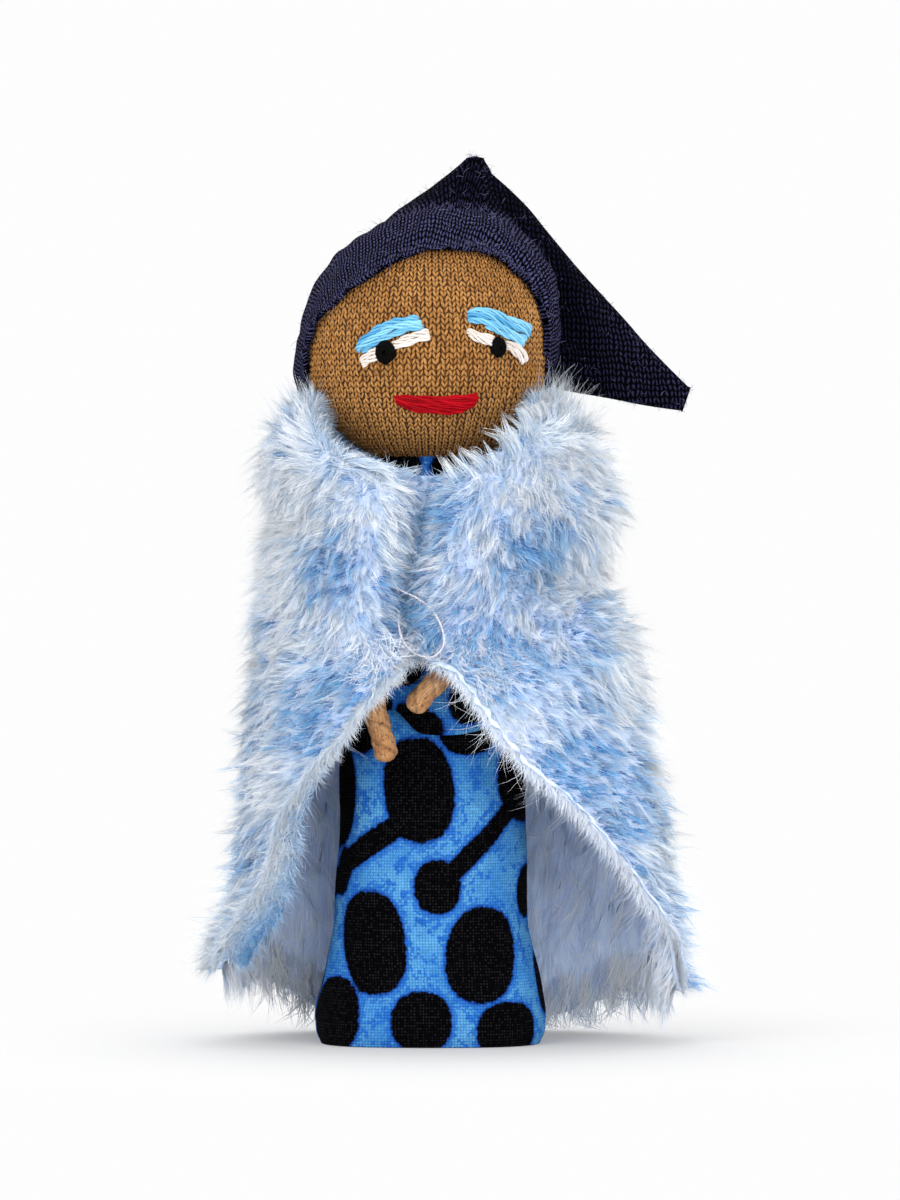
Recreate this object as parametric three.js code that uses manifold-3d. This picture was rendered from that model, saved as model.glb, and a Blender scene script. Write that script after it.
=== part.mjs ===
// Worry doll: a small hand-made cloth figure that stands on its own flat base.
// A printed cotton dress over stuffing, a knitted ball head with a stitched face, a jersey hood
// with a long tail, a fur cape that is tied at the chest and two arms of wire wrapped in paper.
// Millimetres, +Z up. The origin is the middle of the flat base, and the doll faces -Y.
// Left and right are as seen from the front, so left is -X.

import * as THREE from 'three';
import { mergeVertices } from 'three/addons/utils/BufferGeometryUtils.js';
import Module from 'manifold-3d';

const wasm = await Module();
wasm.setup();

// Clearances and cloth
const GAP = 0.3;              // left between pieces that lie on each other
const COTTON = 0.7;           // wall of the dress, printed cotton with its turned edges
const KNIT = 0.8;             // wall of the head's knitted cover
const FUR_WALL = 3.0;         // backing and pressed pile of the cape where it hangs free

// Dress: height above the floor, half width and half depth of the outside
const SKIRT = [
  [0.0, 13.6, 11.4], [0.9, 14.4, 12.2], [4.0, 14.6, 12.3], [9.0, 13.9, 11.7], [15.0, 12.6, 10.7],
  [28.0, 12.1, 10.3], [38.0, 12.2, 10.4], [43.5, 11.9, 10.2],
];
const BODICE = [
  [42.0, 13.0, 11.3], [46.0, 13.2, 11.4], [54.0, 12.9, 10.8], [62.0, 11.9, 9.6], [68.0, 10.6, 8.6],
  [72.0, 8.6, 7.6], [76.0, 6.5, 6.5],
];
const SKIRT_SQUARENESS = 2.7; // exponent of the section: 2 is an ellipse, more is squarer
const NECK_SQUARENESS = 2.0;
const WAIST_WAVE = 1.1;       // how far the bodice's lower edge rises and dips
const BASE_CARD = 1.6;        // stiff card that keeps the base flat
const STUFFING_TOP = 70.0;

// Head, about its own centre
const HEAD_X = -0.7;
const HEAD_Z = 89.9;
const HEAD_R = 16.0;
const HEAD_HALF_HEIGHT = 14.5;
const NECK_R = 4.2;
const NECK_FOOT = 71.0;
const NECK_THREAD_R = 0.3;
const NECK_LOOPS = 3;
const NECK_LOOP_GAP = 0.45;

// Stick that carries the head
const STICK_R = 1.5;
const STICK_FOOT = 6.0;
const STICK_ABOVE_CENTRE = 7.0;   // how far it reaches past the head's centre

// Stitched face: points are across and up from the head's centre, as seen from the front
const FLOSS_HEIGHT = 0.8;
const BROW_WIDTH = 1.8;
const LEFT_BROW = [[-9.4, -0.4], [-6.8, 1.8], [-3.9, 3.0], [-0.5, 3.5]];
const RIGHT_BROW = [[4.8, 4.3], [6.9, 4.7], [10.2, 3.2], [12.9, 1.0]];
const EYE_WIDTH = 1.1;
const EYE_WHITES = {
  left_eye_outer_stitch: [[-8.7, -2.2], [-7.1, -1.1]],
  left_eye_inner_stitch: [[-3.7, 0.2], [-0.3, 1.3]],
  right_eye_inner_stitch: [[5.1, 1.7], [7.3, 1.0]],
  right_eye_outer_stitch: [[10.7, -0.3], [11.5, -0.8], [12.3, -2.1]],
};
const KNOT_R = 1.15;
const LEFT_PUPIL = [-5.4, -0.6];
const RIGHT_PUPIL = [9.0, 0.0];
const MOUTH_LEFT = [-4.0, -6.3];
const MOUTH_RIGHT = [6.1, -6.2];
const MOUTH_DEPTH = 2.4;

// Hood, about the head's centre: rings of the crown are height, middle across, middle back,
// half width and half depth
const HOOD_WALL = 1.3;
const HOOD_CAP = { halfWidth: 17.3, halfDepth: 17.6, halfHeight: 18.1, rise: 0.7 };
const CROWN = [
  [4.0, 0.6, 0.4, 15.2, 15.4], [9.6, 1.4, 0.6, 14.9, 14.8], [14.5, 2.6, 1.0, 11.6, 10.8],
  [18.9, 4.7, 1.4, 7.6, 6.6], [20.9, 5.4, 1.4, 5.4, 4.4], [23.5, 6.0, 1.2, 2.1, 1.9],
  [24.9, 6.2, 1.0, 0.5, 0.5],
];
// Stations of the tail: upper edge, lower edge (each across, up), middle back, half thickness
const TAIL = [
  [[6.4, 24.2], [4.0, 12.0], 1.2, 1.2], [[11.8, 19.4], [7.0, 4.0], 3.6, 3.6],
  [[15.0, 15.6], [12.0, -3.4], 5.6, 4.0], [[18.9, 11.0], [15.6, -4.7], 6.4, 3.2],
  [[25.1, 4.3], [23.7, -6.2], 6.6, 2.1], [[28.3, 0.9], [27.7, -7.0], 6.4, 1.6],
  [[34.2, -4.9], [33.2, -7.8], 6.0, 1.1],
];
const FACE_OPENING = [
  [-15.9, -3.0], [-15.6, -0.6], [-14.8, 2.3], [-12.3, 5.5], [-8.3, 8.4], [-5.3, 10.6], [-1.7, 12.4],
  [1.1, 13.0], [6.2, 13.0], [8.6, 12.1], [11.7, 10.1], [14.0, 7.2], [15.3, 4.0], [15.6, -3.6],
];
const FACE_OPENING_BACK = -0.5;    // how far back the sides of the opening reach
const HOOD_HEM = -6.4;             // lower edge at the ears
const HOOD_HEM_SLOPE = 0.2;        // how fast it falls towards the nape

// Cape: height, left reach, right reach, front and back reach of the outside
const CAPE = [
  [84.0, 15.2, 14.6, 13.0, 14.0], [81.0, 19.8, 19.0, 16.4, 16.6], [77.0, 21.8, 21.8, 18.0, 17.8],
  [70.0, 22.2, 23.4, 19.8, 18.6], [60.0, 22.2, 24.4, 21.0, 18.6], [50.0, 23.0, 26.0, 21.4, 18.8],
  [40.0, 24.0, 27.6, 21.6, 19.4], [30.0, 25.4, 29.4, 21.8, 20.2], [20.0, 27.6, 31.4, 22.0, 21.0],
  [8.0, 30.0, 33.4, 22.0, 22.0], [3.0, 30.6, 33.8, 22.0, 22.4],
];
// Cape: height and thickness of the wall, thick at the collar where the pile is pressed together
const SHOULDER_Z = 66.0;           // height of the arms' shoulder ends
const CAPE_WALL = [
  [84.0, 4.0], [81.0, 8.0], [77.0, 14.0], [73.0, 13.0], [SHOULDER_Z + 4.0, 9.6],
  [SHOULDER_Z + 2.6, 5.6], [SHOULDER_Z, 3.4], [SHOULDER_Z - 4.0, FUR_WALL], [3.0, FUR_WALL],
];
const CAPE_SQUARENESS = 2.35;
const CAPE_TOP = 83.0;
const CAPE_TOP_FRONT = 75.0;
const CAPE_HEM_BACK = 3.0;
const CAPE_HEM_LEFT = 9.6;
const CAPE_HEM_RIGHT = 7.6;
const CAPE_FOLD = 0.7;             // height of the hanging folds at the hem
const CAPE_FOLDS = 7;
const CAPE_HANGS_FROM = 70.0;      // the folds grow from here down
const CAPE_FOLDS_OVER = 60.0;
const CAPE_SLIT = 0.8;             // between the two front edges where they meet
const CAPE_CLOSED_FROM = 46.0;     // the edges turn in above this height
const CAPE_CLOSED_OVER = 8.0;
const CAPE_VALLEY = 2.6;           // how far the front edges are drawn in where they meet
const CAPE_VALLEY_WIDTH = 5.0;
// Front edges: height, left edge across, right edge across
const CAPE_EDGES = [
  [84.0, -0.4, -0.4], [72.0, -0.8, -0.8], [62.0, -2.6, -2.6], [55.0, -3.6, -3.6], [50.2, -2.0, -2.0],
  [49.4, -4.0, 1.6], [47.4, -6.4, 3.8], [43.4, -10.1, 7.0], [40.4, -11.8, 9.0], [36.0, -16.6, 13.0],
  [30.0, -21.6, 20.4], [24.0, -23.7, 26.0], [14.0, -27.6, 31.6], [3.0, -29.9, 33.4],
];

// Arms: paper-wrapped wire, from the shoulder to the fingertips
const ARM_R = 1.45;
const SHOULDER_R = 1.6;
const FINGER_R = 1.5;
const WIRE_R = 0.45;
const WIRE_END = 1.2;              // how far the wire stops short of the fingertips
const SHOULDER_BEHIND_STICK = 2.4; // the wire between the arms runs behind the neck stick
const LEFT_ARM = [
  [-14.9, -1.4, 61.4], [-14.7, -6.0, 55.8], [-11.8, -11.0, 50.6], [-8.6, -13.1, 47.0],
  [-7.3, -13.6, 42.4], [-6.1, -13.6, 37.9],
];
const RIGHT_ARM = [
  [14.5, -1.4, 61.4], [14.5, -6.6, 56.2], [11.8, -11.8, 52.6], [7.0, -14.2, 50.6],
  [2.2, -15.0, 48.6], [-1.2, -15.4, 44.9],
];

// Tie across the cape: across, up
const TIE_R = 0.25;
const TIE_LIFT = 0.35;
const TIE = [[-7.2, 58.6], [-4.0, 59.2], [0.8, 57.6], [1.4, 55.8], [-3.0, 54.6], [-7.0, 55.4]];

// Counts
const BODY_SIDES = 40;
const HEAD_SIDES = 32;
const HOOD_ROWS = 16;
const ARM_SIDES = 8;
const ARM_STEPS = 18;
const CAPE_COLUMNS = 34;
const CAPE_ROWS = 10;

// Helpers

/** Straight lines between the rows of a table whose first column is the key, in any order. */
function along(table, key, column) {
  const rows = [...table].sort((a, b) => a[0] - b[0]);
  if (key <= rows[0][0]) return rows[0][column];
  for (let i = 1; i < rows.length; i++) {
    if (key <= rows[i][0]) {
      const t = (key - rows[i - 1][0]) / (rows[i][0] - rows[i - 1][0]);
      return rows[i - 1][column] + t * (rows[i][column] - rows[i - 1][column]);
    }
  }
  return rows[rows.length - 1][column];
}

const smooth = (t) => {
  const s = Math.min(1, Math.max(0, t));
  return s * s * (3 - 2 * s);
};

/** Signed power, which turns a circle into a superellipse. */
const bend = (value, power) => Math.sign(value) * Math.abs(value) ** power;

/** One point of a superellipse at angle t. */
function superPoint(halfWidth, halfDepth, squareness, t) {
  const power = 2 / squareness;
  return [halfWidth * bend(Math.cos(t), power), halfDepth * bend(Math.sin(t), power)];
}

/** Turns the triangles round where they enclose a negative volume. */
function facingOut(positions, index) {
  let volume = 0;
  const p = (i) => new THREE.Vector3().fromArray(positions, 3 * i);
  for (let i = 0; i < index.length; i += 3) {
    volume += p(index[i]).dot(p(index[i + 1]).cross(p(index[i + 2])));
  }
  if (volume < 0) {
    for (let i = 0; i < index.length; i += 3) {
      [index[i + 1], index[i + 2]] = [index[i + 2], index[i + 1]];
    }
  }
  const geometry = new THREE.BufferGeometry();
  geometry.setAttribute('position', new THREE.Float32BufferAttribute(positions, 3));
  geometry.setIndex(index);
  return geometry;
}

/** A closed skin through rings of points, with a fan over each end ring. */
function loft(rings) {
  const sides = rings[0].length;
  const positions = rings.flat().flatMap((v) => v.toArray());
  const index = [];
  for (let r = 0; r + 1 < rings.length; r++) {
    for (let s = 0; s < sides; s++) {
      const a = r * sides + s;
      const b = r * sides + (s + 1) % sides;
      index.push(a, b, b + sides, a, b + sides, a + sides);
    }
  }
  for (const [ring, turned] of [[0, true], [rings.length - 1, false]]) {
    const middle = positions.length / 3;
    const centre = new THREE.Vector3();
    rings[ring].forEach((v) => centre.addScaledVector(v, 1 / sides));
    positions.push(...centre.toArray());
    for (let s = 0; s < sides; s++) {
      const a = ring * sides + s;
      const b = ring * sides + (s + 1) % sides;
      index.push(middle, turned ? b : a, turned ? a : b);
    }
  }
  return facingOut(positions, index);
}

/** A wall between two grids of points, given as columns of equal length, closed all round its rim. */
function wall(outer, inner) {
  const rows = outer[0].length;
  const far = outer.length * rows;
  const positions = [...outer.flat(), ...inner.flat()].flatMap((v) => v.toArray());
  const index = [];
  const quad = (a, b, c, d) => index.push(a, b, c, a, c, d);
  for (let c = 0; c + 1 < outer.length; c++) {
    for (let r = 0; r + 1 < rows; r++) {
      const a = c * rows + r;
      quad(a, a + rows, a + rows + 1, a + 1);
      quad(far + a, far + a + 1, far + a + rows + 1, far + a + rows);
    }
    const top = c * rows;
    const hem = top + rows - 1;
    quad(top, far + top, far + top + rows, top + rows);
    quad(hem, hem + rows, far + hem + rows, far + hem);
  }
  const last = (outer.length - 1) * rows;
  for (let r = 0; r + 1 < rows; r++) {
    quad(r, r + 1, far + r + 1, far + r);
    quad(last + r, far + last + r, far + last + r + 1, last + r + 1);
  }
  return facingOut(positions, index);
}

function toSolid(geometry) {
  const bare = geometry.clone();
  bare.deleteAttribute('normal');
  bare.deleteAttribute('uv');
  const merged = mergeVertices(bare, 1e-4);
  return new wasm.Manifold(new wasm.Mesh({
    numProp: 3,
    vertProperties: new Float32Array(merged.attributes.position.array),
    triVerts: new Uint32Array(merged.index.array),
  }));
}

function toGeometry(solid) {
  const mesh = solid.getMesh();
  const geometry = new THREE.BufferGeometry();
  geometry.setAttribute('position', new THREE.Float32BufferAttribute(mesh.vertProperties, 3));
  geometry.setIndex([...mesh.triVerts]);
  return geometry;
}

const doll = new THREE.Group();

/** Adds one named piece with its own finish. */
function addPiece(name, geometry, color, roughness) {
  const shaded = geometry.index ? geometry.toNonIndexed() : geometry;
  shaded.computeVertexNormals();
  const material = new THREE.MeshStandardMaterial({ color, roughness, metalness: 0 });
  material.name = name;
  const mesh = new THREE.Mesh(shaded, material);
  mesh.name = name;
  doll.add(mesh);
}

// Dress

/** Where the middle of the body stands: it leans a little towards the head above the waist. */
const waist = SKIRT[SKIRT.length - 1][0];
const leanX = (z) => HEAD_X * smooth((z - waist) / (NECK_FOOT - waist));

function squarenessAt(z) {
  const t = smooth((z - waist) / (NECK_FOOT - waist));
  return SKIRT_SQUARENESS + t * (NECK_SQUARENESS - SKIRT_SQUARENESS);
}

/** One level ring of the dress, drawn in by inset. */
function dressRing(table, z, inset, level = () => z) {
  const ring = [];
  for (let s = 0; s < BODY_SIDES; s++) {
    const t = 2 * Math.PI * s / BODY_SIDES;
    const [x, y] = superPoint(
      along(table, z, 1) - inset, along(table, z, 2) - inset, squarenessAt(z), t);
    ring.push(new THREE.Vector3(x + leanX(z), y, level(t)));
  }
  return ring;
}

function levels(table, low, high) {
  const inside = table.map((row) => row[0]).filter((z) => z > low + 0.5 && z < high - 0.5);
  return [low, ...inside, high].sort((a, b) => a - b);
}

function makeSkirt() {
  const outside = loft(SKIRT.map(([z]) => dressRing(SKIRT, z, 0)));
  const inside = loft(levels(SKIRT, COTTON, waist + 1).map((z) => dressRing(SKIRT, z, COTTON)));
  return toGeometry(toSolid(outside).subtract(toSolid(inside)));
}

/** The bodice's lower edge waves a little round the waist. */
const bodiceFoot = BODICE[0][0];
const bodiceTop = BODICE[BODICE.length - 1][0];
const bodiceHem = (t) => bodiceFoot + WAIST_WAVE * (Math.sin(t + 0.5) * 0.6 + Math.sin(2 * t) * 0.3);

function makeBodice() {
  const rings = levels(BODICE, bodiceFoot, bodiceTop);
  const outside = rings.map((z, i) => dressRing(BODICE, z, 0, i ? undefined : bodiceHem));
  const insideLevels = [bodiceFoot - 2, ...rings.slice(1, -1), bodiceTop + 1];
  const inside = insideLevels.map((z) => dressRing(BODICE, z, COTTON));
  const holes = toSolid(shoulderRod(WIRE_R + GAP, shoulderX(-1), shoulderX(1)));
  return toGeometry(toSolid(loft(outside)).subtract(toSolid(loft(inside))).subtract(holes));
}

/** A level rod or hole across the shoulders, between two places across. */
function shoulderRod(radius, left, right) {
  const rod = new THREE.CylinderGeometry(radius, radius, right - left, 12);
  rod.rotateZ(Math.PI / 2);
  rod.translate((left + right) / 2, SHOULDER_BEHIND_STICK, SHOULDER_Z);
  return rod;
}

/** Where the middle of an arm's shoulder end lies, against the side of the bodice. */
function shoulderX(hand) {
  const side = along(BODICE, SHOULDER_Z, 1);
  return leanX(SHOULDER_Z) + hand * (side + GAP + SHOULDER_R);
}

/** An upright round rod or hole through the neck. */
function neckRod(radius, low, high, sides = 20) {
  const rod = new THREE.CylinderGeometry(radius, radius, high - low, sides);
  rod.rotateX(Math.PI / 2);
  rod.translate(HEAD_X, 0, (low + high) / 2);
  return rod;
}

const cardTop = COTTON + GAP + BASE_CARD;
const stickTop = HEAD_Z + STICK_ABOVE_CENTRE;
const filling = COTTON + GAP;

function makeBaseCard() {
  return loft([COTTON + GAP, cardTop].map((z) => dressRing(SKIRT, z, filling)));
}

/** The filling swells above the skirt's top edge, where only the bodice holds it. */
function makeBodyStuffing() {
  const low = levels(SKIRT, cardTop + GAP, waist + GAP);
  const high = levels(BODICE, waist + 3, STUFFING_TOP);
  const rings = [
    ...low.map((z) => dressRing(SKIRT, z, filling)),
    ...high.map((z) => dressRing(BODICE, z, filling)),
  ];
  const bore = toSolid(neckRod(STICK_R + GAP, STICK_FOOT - GAP, STUFFING_TOP + 2));
  const tunnel = toSolid(shoulderRod(WIRE_R + GAP, shoulderX(-1), shoulderX(1)));
  return toGeometry(toSolid(loft(rings)).subtract(bore).subtract(tunnel));
}

/** The wire that joins the arms ends in the bodice's wall, just short of the shoulders. */
function makeShoulderWire() {
  const short = SHOULDER_R + GAP;
  return shoulderRod(WIRE_R, shoulderX(-1) + short, shoulderX(1) - short);
}

addPiece('skirt', makeSkirt(), 0x3f82d6, 0.85);
addPiece('bodice', makeBodice(), 0x3b7bd0, 0.85);
addPiece('base_card', makeBaseCard(), 0x9c8465, 0.9);
addPiece('body_stuffing', makeBodyStuffing(), 0xe9e6df, 1);
addPiece('neck_stick', neckRod(STICK_R, STICK_FOOT, stickTop), 0xc9a877, 0.7);
addPiece('shoulder_wire', makeShoulderWire(), 0x8c8c8c, 0.4);

// Head

/** Half outline of the head from the neck's foot to the crown, drawn in by inset. */
function headOutline(inset, foot) {
  const neck = NECK_R - inset;
  const r = HEAD_R - inset;
  const h = HEAD_HALF_HEIGHT - inset;
  const start = Math.acos(-Math.sqrt(1 - (neck / r) ** 2));
  const points = [new THREE.Vector2(neck, foot)];
  const steps = HEAD_SIDES / 2 - 4;
  for (let i = 0; i <= steps; i++) {
    const t = start * (1 - i / steps);
    const across = i === steps ? 0 : r * Math.sin(t);
    points.push(new THREE.Vector2(across, HEAD_Z + h * Math.cos(t)));
  }
  return points;
}

/** A solid of revolution about the neck's upright axis. */
function turned(profile, sides = HEAD_SIDES) {
  const geometry = new THREE.LatheGeometry(profile, sides);
  geometry.rotateX(Math.PI / 2);
  geometry.translate(HEAD_X, 0, 0);
  const merged = geometry.clone();
  merged.deleteAttribute('normal');
  merged.deleteAttribute('uv');
  const joined = mergeVertices(merged, 1e-4);
  const index = [];
  for (let i = 0; i < joined.index.count; i += 3) {
    const [a, b, c] = [0, 1, 2].map((k) => joined.index.getX(i + k));
    if (a !== b && b !== c && a !== c) index.push(a, b, c);
  }
  return facingOut([...joined.attributes.position.array], index);
}

function makeHeadCover() {
  const outside = headOutline(0, NECK_FOOT).reverse();
  const inside = headOutline(KNIT, NECK_FOOT);
  return turned([...outside, ...inside]);
}

function makeHeadStuffing() {
  const outside = headOutline(KNIT + GAP, NECK_FOOT);
  const bore = STICK_R + GAP;
  return turned([
    new THREE.Vector2(0, stickTop + GAP),
    new THREE.Vector2(bore, stickTop + GAP),
    new THREE.Vector2(bore, NECK_FOOT),
    ...outside,
  ]);
}

/** One unbroken thread wound round the neck, with its least gap to itself. */
function makeNeckThread() {
  const radius = NECK_R + GAP + NECK_THREAD_R;
  const pitch = 2 * NECK_THREAD_R + NECK_LOOP_GAP;
  const steps = 24 * NECK_LOOPS;
  const sides = 6;
  const rings = [];
  const points = [];
  for (let i = 0; i <= steps; i++) {
    const t = 2 * Math.PI * i / 24;
    const out = new THREE.Vector3(Math.cos(t), Math.sin(t), 0);
    const up = new THREE.Vector3(0, 0, 1);
    const middle = out.clone().multiplyScalar(radius);
    middle.x += HEAD_X;
    middle.z = NECK_FOOT + 1 + pitch * i / 24;
    points.push(middle);
    rings.push([...Array(sides).keys()].map((s) => {
      const a = 2 * Math.PI * s / sides;
      return middle.clone().addScaledVector(out, NECK_THREAD_R * Math.cos(a))
        .addScaledVector(up, NECK_THREAD_R * Math.sin(a));
    }));
  }
  let least = Infinity;
  points.forEach((p, i) => points.slice(i + 12).forEach((q) => {
    least = Math.min(least, p.distanceTo(q) - 2 * NECK_THREAD_R);
  }));
  console.log(`neck thread: least gap to itself ${least.toFixed(2)} mm`);
  return loft(rings);
}

addPiece('head_cover', makeHeadCover(), 0xa9773f, 0.95);
addPiece('head_stuffing', makeHeadStuffing(), 0xe9e6df, 1);
addPiece('neck_thread', makeNeckThread(), 0x8a6238, 0.8);

// Face

/** A point of the front of the head, lifted off the knit along the surface's normal. */
function onFace([x, z], lift) {
  const depth = Math.sqrt(Math.max(0.02, 1 - (x / HEAD_R) ** 2 - (z / HEAD_HALF_HEIGHT) ** 2));
  const point = new THREE.Vector3(x, -HEAD_R * depth, z);
  const normal = new THREE.Vector3(
    x / HEAD_R ** 2, point.y / HEAD_R ** 2, z / HEAD_HALF_HEIGHT ** 2).normalize();
  point.addScaledVector(normal, lift);
  return { point: point.add(new THREE.Vector3(HEAD_X, 0, HEAD_Z)), normal };
}

/** A raised bundle of stitches along a line on the face. widthAt gives its width from 0 to 1. */
function stitchPad(line, widthAt, height, steps = 10) {
  const curve = new THREE.SplineCurve(line.map(([x, z]) => new THREE.Vector2(x, z)));
  const sides = 10;
  const rings = [];
  for (let i = 0; i <= steps; i++) {
    const t = i / steps;
    const here = curve.getPoint(t);
    const going = curve.getTangent(t);
    const rim = Math.sqrt(Math.max(0.12, 1 - (2 * t - 1) ** 6));
    const halfWidth = widthAt(t) / 2;
    rings.push([...Array(sides).keys()].map((s) => {
      const a = 2 * Math.PI * s / sides;
      const across = halfWidth * Math.cos(a) * rim;
      const spot = [here.x - going.y * across, here.y + going.x * across];
      return onFace(spot, GAP + Math.max(0, Math.sin(a)) * height * rim).point;
    }));
  }
  return loft(rings);
}

/** A knot: a flattened ball that sits on the knit. */
function makeKnot([x, z]) {
  const { point, normal } = onFace([x, z], GAP + KNOT_R * 0.62);
  const knot = new THREE.SphereGeometry(KNOT_R, 14, 10);
  knot.scale(1, 1, 0.62);
  knot.applyQuaternion(new THREE.Quaternion().setFromUnitVectors(
    new THREE.Vector3(0, 0, 1), normal));
  knot.translate(point.x, point.y, point.z);
  return toGeometry(toSolid(knot));
}

/** Lips: a flat top edge and a full lower edge, both ending in points. */
function makeMouth() {
  const middle = [
    (MOUTH_LEFT[0] + MOUTH_RIGHT[0]) / 2, (MOUTH_LEFT[1] + MOUTH_RIGHT[1]) / 2 - MOUTH_DEPTH * 0.4];
  const width = (t) => 0.5 + (MOUTH_DEPTH - 0.5) * Math.sin(Math.PI * t) ** 0.8;
  return stitchPad([MOUTH_LEFT, middle, MOUTH_RIGHT], width, FLOSS_HEIGHT, 14);
}

addPiece('left_brow', stitchPad(LEFT_BROW, () => BROW_WIDTH, FLOSS_HEIGHT), 0x5fc0e6, 0.5);
addPiece('right_brow', stitchPad(RIGHT_BROW, () => BROW_WIDTH, FLOSS_HEIGHT), 0x5fc0e6, 0.5);
for (const [name, line] of Object.entries(EYE_WHITES)) {
  addPiece(name, stitchPad(line, () => EYE_WIDTH, FLOSS_HEIGHT, 6), 0xf2efe6, 0.55);
}
addPiece('left_pupil', makeKnot(LEFT_PUPIL), 0x14120f, 0.6);
addPiece('right_pupil', makeKnot(RIGHT_PUPIL), 0x14120f, 0.6);
addPiece('mouth', makeMouth(), 0xc4141f, 0.5);

// Hood

function hoodPoint(x, y, z) {
  return new THREE.Vector3(HEAD_X + x, y, HEAD_Z + z);
}

function ellipsoid(halfWidth, halfDepth, halfHeight, rise, sides, rows) {
  const ball = new THREE.SphereGeometry(1, sides, rows);
  ball.rotateX(Math.PI / 2);
  ball.scale(halfWidth, halfDepth, halfHeight);
  ball.translate(HEAD_X, 0, HEAD_Z + rise);
  return toSolid(ball);
}

function makeCrown() {
  const sides = 28;
  return toSolid(loft(CROWN.map(([z, x, y, halfWidth, halfDepth]) => (
    [...Array(sides).keys()].map((s) => {
      const t = 2 * Math.PI * s / sides;
      return hoodPoint(x + halfWidth * Math.cos(t), y + halfDepth * Math.sin(t), z);
    })))));
}

function makeTail() {
  const sides = 20;
  return toSolid(loft(TAIL.map(([upper, lower, back, half]) => (
    [...Array(sides).keys()].map((s) => {
      const t = 2 * Math.PI * s / sides;
      const share = 0.5 + 0.5 * Math.cos(t);
      const thick = half * bend(Math.sin(t), 0.8);
      return hoodPoint(
        lower[0] + share * (upper[0] - lower[0]), back + thick,
        lower[1] + share * (upper[1] - lower[1]));
    })))));
}

/** The opening for the face, as a block that reaches from in front of the head to its sides. */
function openingBlock() {
  const chin = [[HEAD_R + 1.5, -1.5 * HEAD_R], [-HEAD_R - 1.5, -1.5 * HEAD_R]];
  const outline = [...FACE_OPENING, ...chin];
  const shape = new THREE.Shape(outline.map(([x, z]) => new THREE.Vector2(x, z)));
  const deep = { depth: 2.5 * HEAD_R, bevelEnabled: false, steps: 1 };
  const block = new THREE.ExtrudeGeometry(shape, deep);
  block.rotateX(Math.PI / 2);
  block.translate(HEAD_X, FACE_OPENING_BACK, HEAD_Z);
  return toSolid(block);
}

/** Everything below a plane through the height given, which may fall towards the nape. */
function below(height, slope) {
  const wide = 8 * HEAD_R;
  const block = new THREE.BoxGeometry(wide, wide, wide);
  block.translate(0, 0, -wide / 2);
  block.rotateX(-Math.atan(slope));
  block.translate(HEAD_X, 0, HEAD_Z + height);
  return toSolid(block);
}

function makeHood() {
  const cap = HOOD_CAP;
  const head = ellipsoid(HEAD_R + GAP, HEAD_R + GAP, HEAD_HALF_HEIGHT + GAP, 0, HEAD_SIDES, HOOD_ROWS);
  const dome = ellipsoid(cap.halfWidth, cap.halfDepth, cap.halfHeight, cap.rise, HEAD_SIDES, HOOD_ROWS);
  const room = ellipsoid(
    cap.halfWidth - HOOD_WALL, cap.halfDepth - HOOD_WALL, HEAD_HALF_HEIGHT + GAP, 0, HEAD_SIDES, HOOD_ROWS);
  const shell = dome.add(makeCrown()).subtract(below(HOOD_HEM, HOOD_HEM_SLOPE)).add(makeTail());
  return toGeometry(shell.subtract(room.add(head)).subtract(openingBlock()));
}

addPiece('hood', makeHood(), 0x1c1c3c, 0.9);

// Cape

/** A point of the cape at height z and angle a from the back, positive to the doll's right. */
function capePoint(z, a, inset) {
  const side = Math.sin(a) < 0 ? along(CAPE, z, 1) : along(CAPE, z, 2);
  const deep = Math.cos(a) < 0 ? along(CAPE, z, 3) : along(CAPE, z, 4);
  const power = 2 / CAPE_SQUARENESS;
  const hang = smooth((CAPE_HANGS_FROM - z) / CAPE_FOLDS_OVER);
  const fold = CAPE_FOLD * hang * Math.cos(CAPE_FOLDS * a);
  const closure = (along(CAPE_EDGES, z, 1) + along(CAPE_EDGES, z, 2)) / 2;
  const x = (side + fold - inset) * bend(Math.sin(a), power);
  const y = (deep + fold - inset) * bend(Math.cos(a), power);
  const reach = (x - closure) / CAPE_VALLEY_WIDTH;
  const front = smooth(-Math.cos(a) * 2 - 0.6);
  const valley = CAPE_VALLEY * Math.exp(-reach * reach) * front * smooth((z - CAPE_CLOSED_FROM) / CAPE_CLOSED_OVER);
  return new THREE.Vector3(x, y + valley, z);
}

/** Angle of the front edge at height z, on the left (-1) or the right (1). */
function edgeAngle(z, hand) {
  const edge = along(CAPE_EDGES, z, hand < 0 ? 1 : 2) + hand * CAPE_SLIT / 2;
  const reach = along(CAPE, z, hand < 0 ? 1 : 2);
  const share = Math.max(-0.6, Math.min(0.985, hand * edge / reach));
  return hand * (Math.PI - Math.asin(bend(share, CAPE_SQUARENESS / 2)));
}

function capeTopAt(a) {
  const front = smooth((Math.abs(a) - 2.1) / 0.9);
  return CAPE_TOP + front * (CAPE_TOP_FRONT - CAPE_TOP);
}

function capeHemAt(u) {
  const corner = u < 0 ? CAPE_HEM_LEFT : CAPE_HEM_RIGHT;
  return CAPE_HEM_BACK + (corner - CAPE_HEM_BACK) * Math.abs(u) ** 2.2;
}

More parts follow.
